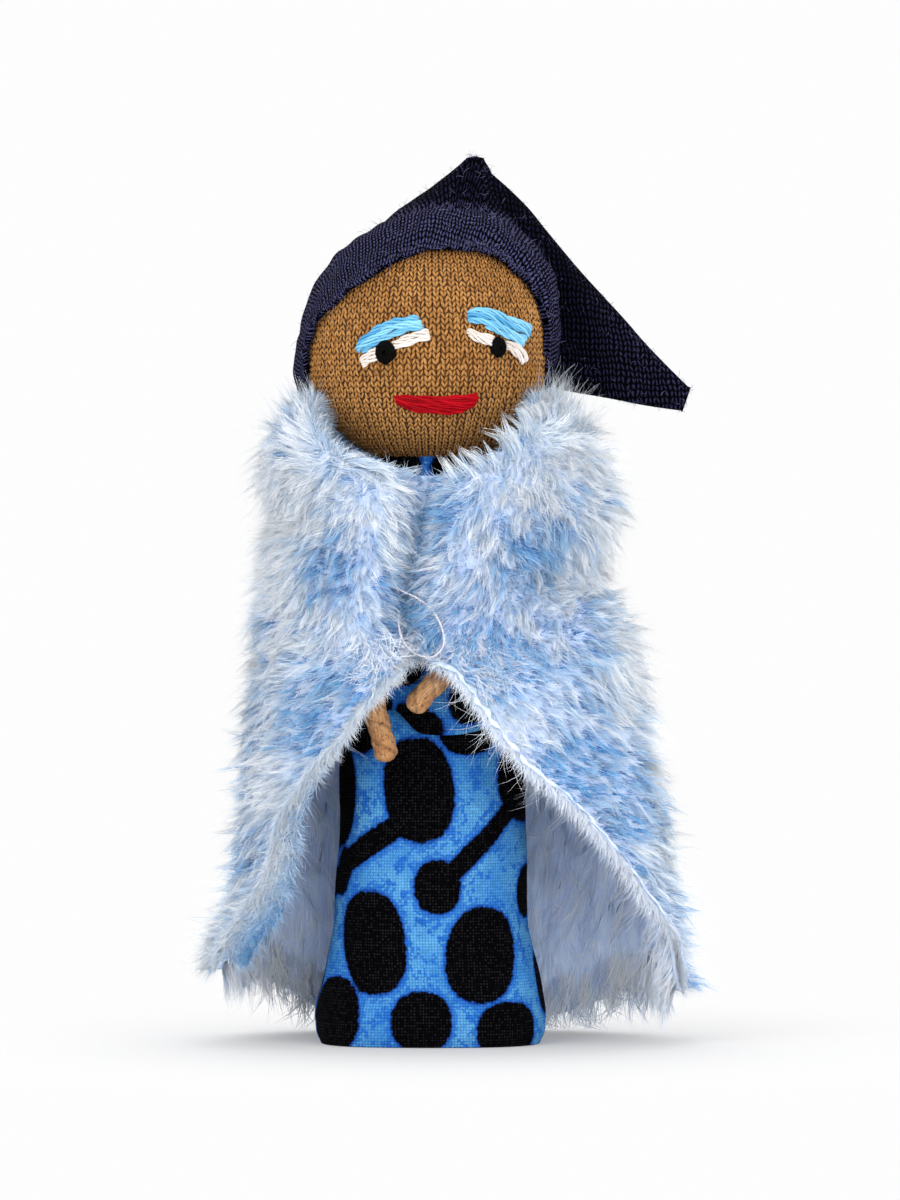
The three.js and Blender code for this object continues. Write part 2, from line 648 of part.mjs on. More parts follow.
function makeCape() {
  const columns = CAPE_COLUMNS;
  const rows = CAPE_ROWS;
  const outer = [];
  const inner = [];
  for (let c = 0; c <= columns; c++) {
    const u = 2 * c / columns - 1;
    const hand = Math.sign(u) || 1;
    const hem = capeHemAt(u);
    const place = (r, pressed) => {
      const topAngle = Math.abs(u) * Math.abs(edgeAngle(CAPE_TOP_FRONT, hand));
      const top = capeTopAt(topAngle);
      const share = r / rows;
      const z = top + (hem - top) * (0.35 * share ** 2 + 0.65 * share);
      const a = Math.abs(u) * edgeAngle(z, hand);
      return capePoint(z, a, pressed ? along(CAPE_WALL, z, 1) : 0);
    };
    const heights = [...Array(rows + 1).keys()];
    outer.push(heights.map((r) => place(r, false)));
    inner.push(heights.map((r) => place(r, true)));
  }
  const nape = HOOD_HEM - HOOD_HEM_SLOPE * HOOD_CAP.halfDepth - GAP;
  const hoodR = HOOD_CAP.halfDepth + GAP;
  const hoodRoom = ellipsoid(hoodR, hoodR, HOOD_CAP.halfHeight + GAP, HOOD_CAP.rise, HEAD_SIDES, HOOD_ROWS)
    .subtract(below(nape, 0));
  const headRoom = ellipsoid(HEAD_R + GAP, HEAD_R + GAP, HEAD_HALF_HEIGHT + GAP, 0, HEAD_SIDES, HOOD_ROWS);
  const neckRoom = neckRod(BODICE[BODICE.length - 1][1] + GAP, NECK_FOOT, CAPE_TOP, 28);
  const bodiceRoom = toSolid(loft(levels(BODICE, bodiceFoot - 2, bodiceTop)
    .map((z) => dressRing(BODICE, z, -GAP))));
  const room = headRoom.add(hoodRoom).add(toSolid(neckRoom)).add(bodiceRoom);
  return toGeometry(toSolid(wall(outer, inner)).subtract(room));
}

/** The thread that ties the cape, laid over the fur from edge to edge. */
function makeTie() {
  const points = TIE.map(([x, z]) => {
    const reach = along(CAPE, z, x < 0 ? 1 : 2);
    const a = Math.PI - Math.asin(bend(Math.abs(x) / reach, CAPE_SQUARENESS / 2));
    const spot = capePoint(z, a * (x < 0 ? -1 : 1), 0);
    const deep = Math.abs(x + 3) < CAPE_VALLEY_WIDTH ? 0.6 : 0;
    return new THREE.Vector3(x, spot.y - TIE_LIFT - TIE_R - deep, z);
  });
  const curve = new THREE.CatmullRomCurve3(points);
  const round = new THREE.Shape();
  round.absarc(0, 0, TIE_R, 0, 2 * Math.PI);
  return new THREE.ExtrudeGeometry(round, { steps: 24, curveSegments: 4, extrudePath: curve });
}

addPiece('fur_cape', makeCape(), 0x9cc4ee, 1);
addPiece('cape_tie', makeTie(), 0xf0eee8, 0.8);

// Arms

/** Rings of an arm about its middle line, with a rounded hand and shoulder. */
function armRings(line, radiusAt, steps, from, to, sides) {
  const curve = new THREE.CatmullRomCurve3(line.map((p) => new THREE.Vector3(...p)));
  const rings = [];
  for (let i = 0; i <= steps; i++) {
    const t = from + (to - from) * i / steps;
    const middle = curve.getPointAt(t);
    const going = curve.getTangentAt(t);
    const out = new THREE.Vector3(1, 0.2, 0).cross(going).normalize();
    const over = going.clone().cross(out);
    rings.push([...Array(sides).keys()].map((s) => {
      const a = 2 * Math.PI * s / sides;
      return middle.clone().addScaledVector(out, radiusAt(t) * Math.cos(a))
        .addScaledVector(over, radiusAt(t) * Math.sin(a));
    }));
  }
  return { rings, length: curve.getLength() };
}

function makeArm(line) {
  const { length } = armRings(line, () => 1, 1, 0, 1, 3);
  const radius = (t) => {
    const body = SHOULDER_R + (ARM_R - SHOULDER_R) * smooth(t * 5);
    const full = body + (FINGER_R - ARM_R) * smooth((t - 0.75) * 6);
    const toEnd = Math.min(1, (1 - t) * length / FINGER_R);
    return Math.max(0.35, full * Math.sqrt(1 - (1 - toEnd) ** 2));
  };
  const body = armRings(line, radius, ARM_STEPS, 0, 0.96, ARM_SIDES).rings;
  const tip = armRings(line, radius, 3, 0.97, 1, ARM_SIDES).rings;
  const wireEnd = 1 - (WIRE_END + FINGER_R) / length;
  const bore = armRings(line, () => WIRE_R + GAP, ARM_STEPS, 0, wireEnd + GAP / length, 6).rings;
  const start = bore[0].map((p, i) => p.clone().sub(bore[1][i]).normalize().add(p));
  const paper = toSolid(loft([...body, ...tip])).subtract(toSolid(loft([start, ...bore])));
  const wire = loft(armRings(line, () => WIRE_R, ARM_STEPS, 0, wireEnd, 6).rings);
  return { paper: toGeometry(paper), wire };
}

for (const [side, hand, line] of [['left', -1, LEFT_ARM], ['right', 1, RIGHT_ARM]]) {
  const shoulder = [shoulderX(hand), SHOULDER_BEHIND_STICK, SHOULDER_Z];
  const { paper, wire } = makeArm([shoulder, ...line]);
  addPiece(`${side}_arm_paper`, paper, 0xa9713f, 0.85);
  addPiece(`${side}_arm_wire`, wire, 0x8c8c8c, 0.4);
}

export default doll;
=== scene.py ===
# %% [markdown]
# # A worry doll, dressed cell by cell
# The doll is a small cloth figure: a stuffed dress of printed cotton, a knitted ball for a head with a
# stitched face, a jersey hood with a long tail, a fur cape and two arms of wire wrapped in paper. The
# solids underneath were made in CAD and come in as a fixed frame. Each cell below makes one piece or
# one finish. Shapes are worked out with numpy as whole arrays, in millimetres about the frame's own
# origin, and turned into metres only when they go into a mesh.

# %% Load the frame
import math

import bpy
import numpy as np
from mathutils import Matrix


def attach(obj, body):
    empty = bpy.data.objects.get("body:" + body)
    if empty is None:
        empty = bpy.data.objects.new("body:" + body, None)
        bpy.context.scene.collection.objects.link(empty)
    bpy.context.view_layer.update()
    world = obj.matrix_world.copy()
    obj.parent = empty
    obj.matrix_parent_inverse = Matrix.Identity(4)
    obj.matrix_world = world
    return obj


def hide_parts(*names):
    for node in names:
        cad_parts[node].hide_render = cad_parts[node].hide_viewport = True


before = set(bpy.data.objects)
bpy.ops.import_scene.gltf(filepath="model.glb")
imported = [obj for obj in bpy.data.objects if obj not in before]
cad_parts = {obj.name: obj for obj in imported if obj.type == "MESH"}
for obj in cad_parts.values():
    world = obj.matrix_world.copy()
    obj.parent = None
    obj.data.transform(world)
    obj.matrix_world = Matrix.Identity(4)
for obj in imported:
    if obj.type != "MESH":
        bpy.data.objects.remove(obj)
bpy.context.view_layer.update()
MM = 0.001
TAU = 2 * math.pi

# %% [markdown]
# ## Camera
# The photograph was taken from almost level with the doll, with a long lens, so there is little
# perspective. One pixel of its 900 by 1200 is 0.13 mm at the doll's middle. From 900 mm away that needs
# a lens of 36 mm * 900 / 156, because the 36 mm sensor lies along the taller side of the picture.

# %% Camera
PIXEL = 0.13                                  # millimetres per pixel at the doll's middle
VIEW_MIDDLE = np.array([2.08, 0.0, 57.41])    # what the middle of the picture looks at
VIEW_DISTANCE = 900.0
VIEW_TILT = math.radians(0.5)

lens = bpy.data.cameras.new("camera")
lens.sensor_width = 36.0
lens.lens = 36.0 * VIEW_DISTANCE / (1200 * PIXEL)
lens.clip_start, lens.clip_end = 0.05, 20.0
camera = bpy.data.objects.new("camera", lens)
bpy.context.scene.collection.objects.link(camera)
back_off = VIEW_DISTANCE * np.array([0.0, -math.cos(VIEW_TILT), math.sin(VIEW_TILT)])
camera.location = tuple((VIEW_MIDDLE + back_off) * MM)
camera.rotation_euler = (math.pi / 2 - VIEW_TILT, 0.0, 0.0)
bpy.context.scene.camera = camera
print("lens", round(lens.lens, 1), "mm")


def from_picture(px, py):
    """Across and up in mm of a pixel of the photograph, at the doll's middle plane."""
    return np.array([(px - 434.0) * PIXEL, 57.408 + (600.0 - py) * PIXEL])


# %% [markdown]
# ## Small tools for shapes
# A smooth step, a rounded reading of a table of measurements, a smooth path through a few points and a
# field of gentle random waves are all that the shapes below are made from.

# %% Tools for shapes
def ease(x, low, high):
    """0 below low, 1 above high, and between them t * t * (3 - 2 t), which starts and ends level."""
    t = np.clip((np.asarray(x, float) - low) / (high - low), 0, 1)
    return t * t * (3 - 2 * t)


def column_of(table, column, blur=1.5):
    """Reads a column of a table as a function of the first one: the mean of the straight-line
    reading at nine places up to blur to both sides, so that its corners come out round."""
    rows = np.array(sorted(table), float)
    shifts = blur * np.linspace(-1, 1, 9)
    return lambda z: np.mean(
        [np.interp(np.asarray(z, float) + s, rows[:, 0], rows[:, column]) for s in shifts], axis=0)


def unit(vectors):
    """Each vector divided by its own length."""
    return vectors / np.maximum(np.linalg.norm(vectors, axis=-1, keepdims=True), 1e-9)


def run_along(points):
    """Distance along a path at each of its points."""
    return np.concatenate([[0], np.cumsum(np.linalg.norm(np.diff(points, axis=0), axis=1))])


def smooth_path(points, count):
    """A path through the points with even steps along it. Each piece is a cubic whose slope at a
    point is the mean of the slopes to both sides, weighted by how near the neighbours are."""
    points = np.asarray(points, float)
    knots = np.concatenate([[0], np.cumsum(np.sqrt(np.linalg.norm(np.diff(points, axis=0), axis=1)))])
    slopes = np.gradient(points, knots, axis=0, edge_order=2 if len(points) > 2 else 1)
    t = np.linspace(0, knots[-1], 24 * len(points))
    i = np.clip(np.searchsorted(knots, t, side="right") - 1, 0, len(points) - 2)
    h = (knots[i + 1] - knots[i])[:, None]
    s = (t - knots[i])[:, None] / h
    path = ((1 + 2 * s) * (1 - s) ** 2 * points[i] + s * (1 - s) ** 2 * h * slopes[i]
            + s * s * (3 - 2 * s) * points[i + 1] + s * s * (s - 1) * h * slopes[i + 1])
    run = run_along(path)
    even = np.linspace(0, run[-1], count)
    return np.stack([np.interp(even, run, path[:, k]) for k in range(path.shape[1])], axis=1)


def waves_at(points, wavelength, seed, count=9):
    """A smooth random value at each point, mostly within -1 and 1: the sum of sine waves of one
    length that run in random directions."""
    local = np.random.default_rng(seed)
    toward = unit(local.normal(size=(count, 3)))
    phase = local.uniform(0, TAU, count)
    return np.sin(points @ toward.T * (TAU / wavelength) + phase).sum(-1) / math.sqrt(count)


# %% [markdown]
# ## Small tools for meshes
# A surface is a grid of points, and a thread is a row of rings. Both become faces by index arithmetic,
# and go into a mesh with foreach_set. Strands carry a flat map of their own: across it runs the shade of
# the strand and up it the way from root to tip, which is all that their colour needs.

# %% Tools for meshes
def grid_faces(rows, columns, joined=False):
    """Quads between neighbours of a grid stored row after row. joined closes the last column onto the
    first. Also gives the row and column of every corner, where the closing column counts on."""
    r, c = np.meshgrid(np.arange(rows - 1), np.arange(columns if joined else columns - 1), indexing="ij")
    corner_row = np.stack([r, r, r + 1, r + 1], -1).reshape(-1, 4)
    corner_column = np.stack([c, c + 1, c + 1, c], -1).reshape(-1, 4)
    return corner_row * columns + corner_column % columns, corner_row, corner_column


def piece(name, points, face_sets, material, body, maps=None, values=None, normals=None):
    """Makes one object from points in mm and arrays of faces, and hands it to the frame. maps holds
    a pair of numbers per face corner, and values one number per point, by name. normals, if given, is
    the direction that each point is shaded as facing."""
    points = np.asarray(points, float).reshape(-1, 3)
    corners = np.concatenate([f.ravel() for f in face_sets]).astype(np.int32)
    sizes = np.concatenate([np.full(len(f), f.shape[1]) for f in face_sets])
    mesh = bpy.data.meshes.new(name)
    mesh.vertices.add(len(points))
    mesh.vertices.foreach_set("co", (points * MM).astype(np.float32).ravel())
    mesh.loops.add(len(corners))
    mesh.loops.foreach_set("vertex_index", corners)
    mesh.polygons.add(len(sizes))
    mesh.polygons.foreach_set("loop_start", np.concatenate([[0], np.cumsum(sizes)[:-1]]).astype(np.int32))
    mesh.polygons.foreach_set("use_smooth", np.ones(len(sizes), bool))
    for key, pairs in (maps or {}).items():
        layer = mesh.uv_layers.new(name=key)
        layer.data.foreach_set("uv", np.asarray(pairs, np.float32).reshape(-1, 2).ravel())
    for key, numbers in (values or {}).items():
        store = mesh.attributes.new(key, "FLOAT", "POINT")
        store.data.foreach_set("value", np.asarray(numbers, np.float32).ravel())
    mesh.update(calc_edges=True)
    if normals is not None:
        mesh.normals_split_custom_set_from_vertices(np.asarray(normals, np.float32))
    mesh.materials.append(material)
    made = bpy.data.objects.new(name, mesh)
    bpy.context.scene.collection.objects.link(made)
    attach(made, body)
    print(name, "points", len(points), "triangles", int((sizes - 2).sum()))
    return made


def outwards(points, faces, inside):
    """Turns all faces round if most of them look towards the point given as inside."""
    points = np.asarray(points, float).reshape(-1, 3)
    a, b, c = (points[faces[:, k]] for k in range(3))
    looks = np.cross(b - a, c - a)
    return faces if (looks * (a - np.asarray(inside, float))).sum() > 0 else faces[:, ::-1]


def mapped(points, faces, row, column, cloth, inside):
    """Faces turned to look away from inside, and the cloth's map read at each of their corners."""
    turned = outwards(points, faces, inside)
    order = slice(None, None, -1) if turned[0, 0] != faces[0, 0] else slice(None)
    return turned, cloth[row[:, order], column[:, order]].reshape(-1, 2)


def fan(first, sides, middle):
    """Triangles that close a ring of points, numbered on from first, onto one point."""
    s = np.arange(sides)
    return np.stack([first + s, first + (s + 1) % sides, np.full(sides, middle)], 1)


def tubes(paths, radius, sides, flat=1.0, up=(0.0, 0.0, 1.0)):
    """Closed tubes round many paths at once. Each ring is centre + radius * (cos * side + flat * sin *
    over), where side is across both the path and up, and over is across the path and side.
    Gives points, quads and end triangles, and each point's tube and place along it from 0 to 1."""
    count, steps = paths.shape[:2]
    going = unit(np.gradient(paths, axis=1))
    side = unit(np.cross(np.broadcast_to(up, paths.shape), going))
    over = np.cross(going, side)
    turn = TAU * np.arange(sides) / sides
    radius = np.broadcast_to(radius, (count, steps))[..., None, None]
    rings = paths[:, :, None] + radius * (
        np.cos(turn)[:, None] * side[:, :, None] + flat * np.sin(turn)[:, None] * over[:, :, None])
    points = np.concatenate([rings.reshape(-1, 3), paths[:, [0, -1]].reshape(-1, 3)])
    s = np.arange(sides)
    n = (s + 1) % sides
    base = ((np.arange(count)[:, None] * steps + np.arange(steps - 1)) * sides)[..., None]
    quads = np.stack([base + s, base + n, base + sides + n, base + sides + s], -1).reshape(-1, 4)
    first = (np.arange(count) * steps * sides)[:, None]
    last = first + (steps - 1) * sides
    tip = (count * steps * sides + 2 * np.arange(count))[:, None] + np.zeros_like(s)
    ends = np.concatenate([
        np.stack([tip, first + n, first + s], -1).reshape(-1, 3),
        np.stack([tip + 1, last + s, last + n], -1).reshape(-1, 3)])
    tube = np.concatenate([np.repeat(np.arange(count), steps * sides), np.repeat(np.arange(count), 2)])
    along = np.concatenate([
        np.tile(np.repeat(np.linspace(0, 1, steps), sides), count), np.tile([0.0, 1.0], count)])
    return points, quads, ends, tube, along


def strands(paths, radius, sides=3, up=(0.13, 0.31, 0.94)):
    """Fine hairs round many paths at once: rings of a few points that end in one point, open at the
    root, which is hidden in the cloth. Gives points, quads, tip triangles, strand and place along."""
    count, steps = paths.shape[:2]
    going = unit(np.gradient(paths, axis=1))
    side = unit(np.cross(np.broadcast_to(up, paths.shape), going))
    over = np.cross(going, side)
    turn = TAU * np.arange(sides) / sides
    radius = np.broadcast_to(radius, (count, steps))[:, :-1, None, None]
    rings = paths[:, :-1, None] + radius * (
        np.cos(turn)[:, None] * side[:, :-1, None] + np.sin(turn)[:, None] * over[:, :-1, None])
    body = (steps - 1) * sides
    points = np.concatenate([rings.reshape(count, body, 3), paths[:, -1:]], axis=1).reshape(-1, 3)
    s = np.arange(sides)
    n = (s + 1) % sides
    base = ((np.arange(count) * (body + 1))[:, None] + np.arange(steps - 2) * sides)[..., None]
    quads = np.stack([base + s, base + n, base + sides + n, base + sides + s], -1).reshape(-1, 4)
    last = (np.arange(count) * (body + 1) + body - sides)[:, None]
    tips = np.stack([last + s, last + n, last + sides + np.zeros_like(s)], -1).reshape(-1, 3)
    strand = np.repeat(np.arange(count), body + 1)
    along = np.tile(np.append(np.repeat(np.linspace(0, 1, steps)[:-1], sides), 1.0), count)
    return points, quads, tips, strand, along


def strand_maps(face_sets, shade, along):
    """The flat map of strands: across it the strand's shade, widened a little so that a bake has
    something to fill, and up it the way from root to tip. The same map serves the bake."""
    pairs = []
    for faces in face_sets:
        spread = np.linspace(-0.004, 0.004, faces.shape[1])
        over, up = 0.02 + 0.96 * shade[faces] + spread, 0.01 + 0.98 * along[faces]
        pairs.append(np.stack([over, up], -1).reshape(-1, 2))
    pairs = np.concatenate(pairs)
    return {"strand": pairs, "OFBake": pairs}


# %% [markdown]
# ## Measurements
# These are the same numbers as in the CAD source, so that every piece lands where its solid is.
# Heights are above the floor, and the face is measured from the middle of the head.

# %% Measurements
SKIRT = [
    [0.0, 13.6, 11.4], [0.9, 14.4, 12.2], [4.0, 14.6, 12.3], [9.0, 13.9, 11.7], [15.0, 12.6, 10.7],
    [28.0, 12.1, 10.3], [38.0, 12.2, 10.4], [43.5, 11.9, 10.2]]
BODICE = [
    [42.0, 13.0, 11.3], [46.0, 13.2, 11.4], [54.0, 12.9, 10.8], [62.0, 11.9, 9.6], [68.0, 10.6, 8.6],
    [72.0, 8.6, 7.6], [76.0, 6.5, 6.5]]
WAIST, NECK_FOOT = 43.5, 71.0
HEAD = np.array([-0.7, 0.0, 89.9])
HEAD_R, HEAD_HALF_HEIGHT, NECK_R = 16.0, 14.5, 4.2
HEAD_CROWN = 16.0     # the ball is rounder above its widest part, where the hood hides most of it
FACE_OPENING = [   # the hood's edge round the face, across and up from the middle of the head
    [-16.2, -6.2], [-15.9, -3.0], [-15.6, -0.6], [-14.8, 2.3], [-12.3, 5.5], [-8.3, 8.4], [-5.3, 10.6],
    [-1.7, 12.4], [1.1, 13.0], [6.2, 13.0], [8.6, 12.1], [11.7, 10.1], [14.0, 7.2], [15.3, 4.0],
    [15.6, -3.6], [15.9, -6.2]]
CAPE = [
    [84.0, 15.2, 14.6, 13.0, 14.0], [81.0, 19.8, 19.0, 16.4, 16.6], [77.0, 21.8, 21.8, 18.0, 17.8],
    [70.0, 22.2, 23.4, 19.8, 18.6], [60.0, 22.2, 24.4, 21.0, 18.6], [50.0, 23.0, 26.0, 21.4, 18.8],
    [40.0, 24.0, 27.6, 21.6, 19.4], [30.0, 25.4, 29.4, 21.8, 20.2], [20.0, 27.6, 31.4, 22.0, 21.0],
    [8.0, 30.0, 33.4, 22.0, 22.0], [3.0, 30.6, 33.8, 22.0, 22.4]]
CAPE_EDGES = [
    [84.0, -0.4, -0.4], [72.0, -0.8, -0.8], [62.0, -2.6, -2.6], [55.0, -3.6, -3.6], [50.2, -2.0, -2.0],
    [49.4, -4.0, 1.6], [47.4, -6.4, 3.8], [43.4, -10.1, 7.0], [40.4, -11.8, 9.0], [36.0, -16.6, 13.0],
    [30.0, -21.6, 20.4], [24.0, -23.7, 26.0], [14.0, -27.6, 31.6], [3.0, -29.9, 33.4]]
print("head centre", HEAD, "cape rows", len(CAPE))

# %% [markdown]
# ## Small tools for finishes
# Materials are built from nodes. These helpers add a node, a sum or a mix in one line each, so that a
# material reads like a recipe.

# %% Tools for finishes
STUDIO = 1.45     # how much brighter the studio lights a cloth than a screen shows it


def rgb(red, green, blue, light=STUDIO):
    """A colour as seen in the photograph, 0 to 255, turned into the linear light that shaders work in
    and divided by the light that it was seen in."""
    c = np.array([red, green, blue]) / 255.0
    c = np.where(c <= 0.04045, c / 12.92, ((c + 0.055) / 1.055) ** 2.4) / light
    return (float(c[0]), float(c[1]), float(c[2]), 1.0)


def add_node(tree, kind, inputs=(), **settings):
    """Adds one node. inputs pairs a socket's name or number with a value or another node's output."""
    node = tree.nodes.new(kind)
    for key, value in settings.items():
        setattr(node, key, value)
    for key, value in dict(inputs).items():
        if isinstance(value, bpy.types.NodeSocket):
            tree.links.new(value, node.inputs[key])
        else:
            node.inputs[key].default_value = value
    return node


def sums(tree, operation, *values, clamp=False):
    """One step of arithmetic on numbers or sockets."""
    return add_node(tree, "ShaderNodeMath", dict(enumerate(values)), operation=operation,
                    use_clamp=clamp).outputs[0]


def blend(tree, factor, first, second, mode="MIX"):
    """Mixes two colours: factor 0 gives the first and 1 the second."""
    return add_node(tree, "ShaderNodeMix", {0: factor, 6: first, 7: second}, data_type="RGBA",
                    blend_type=mode, clamp_factor=True).outputs[2]


def band(tree, value, low, high):
    """0 where the value is under low, 1 where it is over high, and smooth between."""
    return add_node(tree, "ShaderNodeMapRange", {0: value, 1: low, 2: high, 3: 0.0, 4: 1.0},
                    interpolation_type="SMOOTHSTEP").outputs[0]


def noise(tree, place, scale, detail=2.0, roughness=0.5):
    """Cloudy noise. scale is how many lumps there are per unit of the place."""
    return add_node(tree, "ShaderNodeTexNoise", {"Vector": place, "Scale": scale, "Detail": detail,
                                                 "Roughness": roughness}).outputs[0]


def millimetres(tree):
    """The place on the object in millimetres."""
    spot = add_node(tree, "ShaderNodeTexCoord").outputs["Object"]
    return add_node(tree, "ShaderNodeVectorMath", {0: spot, 1: (1000.0, 1000.0, 1000.0)},
                    operation="MULTIPLY").outputs[0]


def new_finish(name, roughness=0.8, sheen=0.0, specular=0.3):
    """An empty material with its shader: the numbers that are the same all over are set on it here."""
    material = bpy.data.materials.new(name)
    material.use_nodes = True
    tree = material.node_tree
    tree.nodes.clear()
    shader = add_node(tree, "ShaderNodeBsdfPrincipled", {
        "Roughness": roughness, "Sheen Weight": sheen, "Sheen Roughness": 0.5,
        "Specular IOR Level": specular})
    add_node(tree, "ShaderNodeOutputMaterial", {"Surface": shader.outputs[0]})
    return material, tree, shader


def show(tree, surface):
    """Makes a shader's output what the material shows."""
    out = next(n for n in tree.nodes if n.type == "OUTPUT_MATERIAL")
    tree.links.new(surface, out.inputs["Surface"])


def on_cloth(tree):
    """The place on the piece's own flat map, in mm."""
    return add_node(tree, "ShaderNodeUVMap", uv_map="cloth").outputs[0]


def point_value(tree, name):
    """A number that the piece's points carry."""
    return add_node(tree, "ShaderNodeAttribute", attribute_name=name).outputs["Fac"]


def vectors(tree, operation, first, second):
    """One step of arithmetic on places."""
    return add_node(tree, "ShaderNodeVectorMath", {0: first, 1: second}, operation=operation).outputs[0]


def speckle(tree, colour, value, low, high, share, ink):
    """Colour with a share of an ink blended over it, where the value runs from low to high."""
    return blend(tree, sums(tree, "MULTIPLY", band(tree, value, low, high), share), colour, ink)


def bumped(tree, shader, height, distance, strength=1.0):
    """Feeds a height, in the unit of distance metres, to the shader's normal."""
    bump = add_node(tree, "ShaderNodeBump", {"Height": height, "Distance": distance, "Strength": strength})
    tree.links.new(bump.outputs[0], shader.inputs["Normal"])


# %% [markdown]
# ## Weave, knit and fibre as node groups
# Three effects come back in several materials, so each is a group that is built once: the plain weave of
# cotton, the V-shaped stitches of jersey, and the cloudy fleck of spun fibre. They put out only heights
# and masks. The shader itself stays in each material.

# %% Node groups
def new_group(name, inputs, outputs):
    """A node group with numbered inputs (name, kind, value) and outputs (name, kind)."""
    group = bpy.data.node_groups.new(name, "ShaderNodeTree")
    for label, kind, value in inputs:
        socket = group.interface.new_socket(name=label, in_out="INPUT", socket_type=kind)
        if value is not None:
            socket.default_value = value
    for label, kind in outputs:
        group.interface.new_socket(name=label, in_out="OUTPUT", socket_type=kind)
    return group, group.nodes.new("NodeGroupInput").outputs, group.nodes.new("NodeGroupOutput").inputs


def make_weave():
    """Plain weave. The cloth is a board of squares one thread wide. On every other square the upright
    thread lies on top, and its height is the cosine across it times a lower cosine along it."""
    group, given, out = new_group("plain weave", [
        ("Place", "NodeSocketVector", None), ("Thread", "NodeSocketFloat", 0.38)],
        [("Height", "NodeSocketFloat"), ("Fleck", "NodeSocketFloat")])
    split = add_node(group, "ShaderNodeSeparateXYZ", {0: given["Place"]})
    x = sums(group, "DIVIDE", split.outputs[0], given["Thread"])
    y = sums(group, "DIVIDE", split.outputs[1], given["Thread"])
    cell_x, cell_y = sums(group, "FLOOR", x), sums(group, "FLOOR", y)
    parity = sums(group, "FLOORED_MODULO", sums(group, "ADD", cell_x, cell_y), 2.0)

    def arch(value, cell, depth):
        """1 at the middle of the square, falling by depth to its edges as a cosine."""
        off = sums(group, "SUBTRACT", sums(group, "SUBTRACT", value, cell), 0.5)
        return sums(group, "ADD", sums(group, "MULTIPLY", sums(
            group, "COSINE", sums(group, "MULTIPLY", off, math.pi)), depth), 1.0 - depth)

    upright = sums(group, "MULTIPLY", arch(x, cell_x, 1.0), arch(y, cell_y, 0.45))
    level = sums(group, "MULTIPLY", arch(y, cell_y, 1.0), arch(x, cell_x, 0.45))
    gap = sums(group, "SUBTRACT", level, upright)
    height = sums(group, "ADD", upright, sums(group, "MULTIPLY", gap, parity))
    cell = add_node(group, "ShaderNodeCombineXYZ", {0: cell_x, 1: cell_y})
    fleck = add_node(group, "ShaderNodeTexWhiteNoise", {0: cell.outputs[0]}, noise_dimensions="2D").outputs[0]
    group.links.new(height, out["Height"])
    group.links.new(fleck, out["Fleck"])
    return group


def make_knit():
    """Jersey. In each cell, one stitch wide and one row tall, two legs rise from the middle and lean
    outwards. A leg's height is 1 less the square of the distance from its middle line."""
    group, given, out = new_group("jersey knit", [
        ("Place", "NodeSocketVector", None), ("Width", "NodeSocketFloat", 0.68),
        ("Row", "NodeSocketFloat", 0.55)],
        [("Height", "NodeSocketFloat"), ("Fleck", "NodeSocketFloat")])
    split = add_node(group, "ShaderNodeSeparateXYZ", {0: given["Place"]})
    x = sums(group, "DIVIDE", split.outputs[0], given["Width"])
    y = sums(group, "DIVIDE", split.outputs[1], given["Row"])
    away = sums(group, "ABSOLUTE", sums(group, "SUBTRACT", sums(group, "FRACT", x), 0.5))
    rise = sums(group, "FRACT", sums(group, "SUBTRACT", y, sums(group, "MULTIPLY", away, 1.1)))
    middle = sums(group, "DIVIDE", sums(group, "SUBTRACT", away, 0.26), 0.21)
    ridge = sums(group, "SUBTRACT", 1.0, sums(group, "MULTIPLY", middle, middle), clamp=True)
    swell = sums(group, "SINE", sums(group, "MULTIPLY", rise, math.pi))
    height = sums(group, "MULTIPLY", ridge, sums(group, "ADD", sums(group, "MULTIPLY", swell, 0.9), 0.1))
    cell = add_node(group, "ShaderNodeCombineXYZ", {0: sums(group, "FLOOR", x), 1: sums(group, "FLOOR", y)})
    fleck = add_node(group, "ShaderNodeTexWhiteNoise", {0: cell.outputs[0]}, noise_dimensions="2D").outputs[0]
    group.links.new(height, out["Height"])
    group.links.new(fleck, out["Fleck"])
    return group


def make_fleck():
    """Fibre fleck: fine noise, stretched by what the Place is scaled with, over broad noise."""
    group, given, out = new_group("fibre fleck", [
        ("Place", "NodeSocketVector", None), ("Fine", "NodeSocketFloat", 6.0),
        ("Broad", "NodeSocketFloat", 0.25)],
        [("Fine fleck", "NodeSocketFloat"), ("Broad cloud", "NodeSocketFloat")])
    group.links.new(noise(group, given["Place"], given["Fine"], 4.0, 0.65), out["Fine fleck"])
    group.links.new(noise(group, given["Place"], given["Broad"], 2.0), out["Broad cloud"])
    return group


weave_group, knit_group, fleck_group = make_weave(), make_knit(), make_fleck()


def use_group(tree, group, **inputs):
    """Places a group in a material, with its own values."""
    return add_node(tree, "ShaderNodeGroup", inputs, node_tree=group).outputs


print("groups", [g.name for g in (weave_group, knit_group, fleck_group)])

# %% [markdown]
# ## Finishes for threads, knots and fur
# Everything that is made of strands shares one recipe: the strand's map says how light or dark it is
# and how far along it a point lies. Floss is smooth cotton with a soft shine. Fur is pale at the tip and
# bluer at the root.

# %% Finishes for strands
def let_through(tree, shader, colour, share):
    """Sends a share of the light on through the material, in its own colour, as thin hair does."""
    behind = add_node(tree, "ShaderNodeBsdfTranslucent", {"Color": colour})
    mixed = add_node(tree, "ShaderNodeMixShader", {0: share, 1: shader.outputs[0], 2: behind.outputs[0]})
    show(tree, mixed.outputs[0])


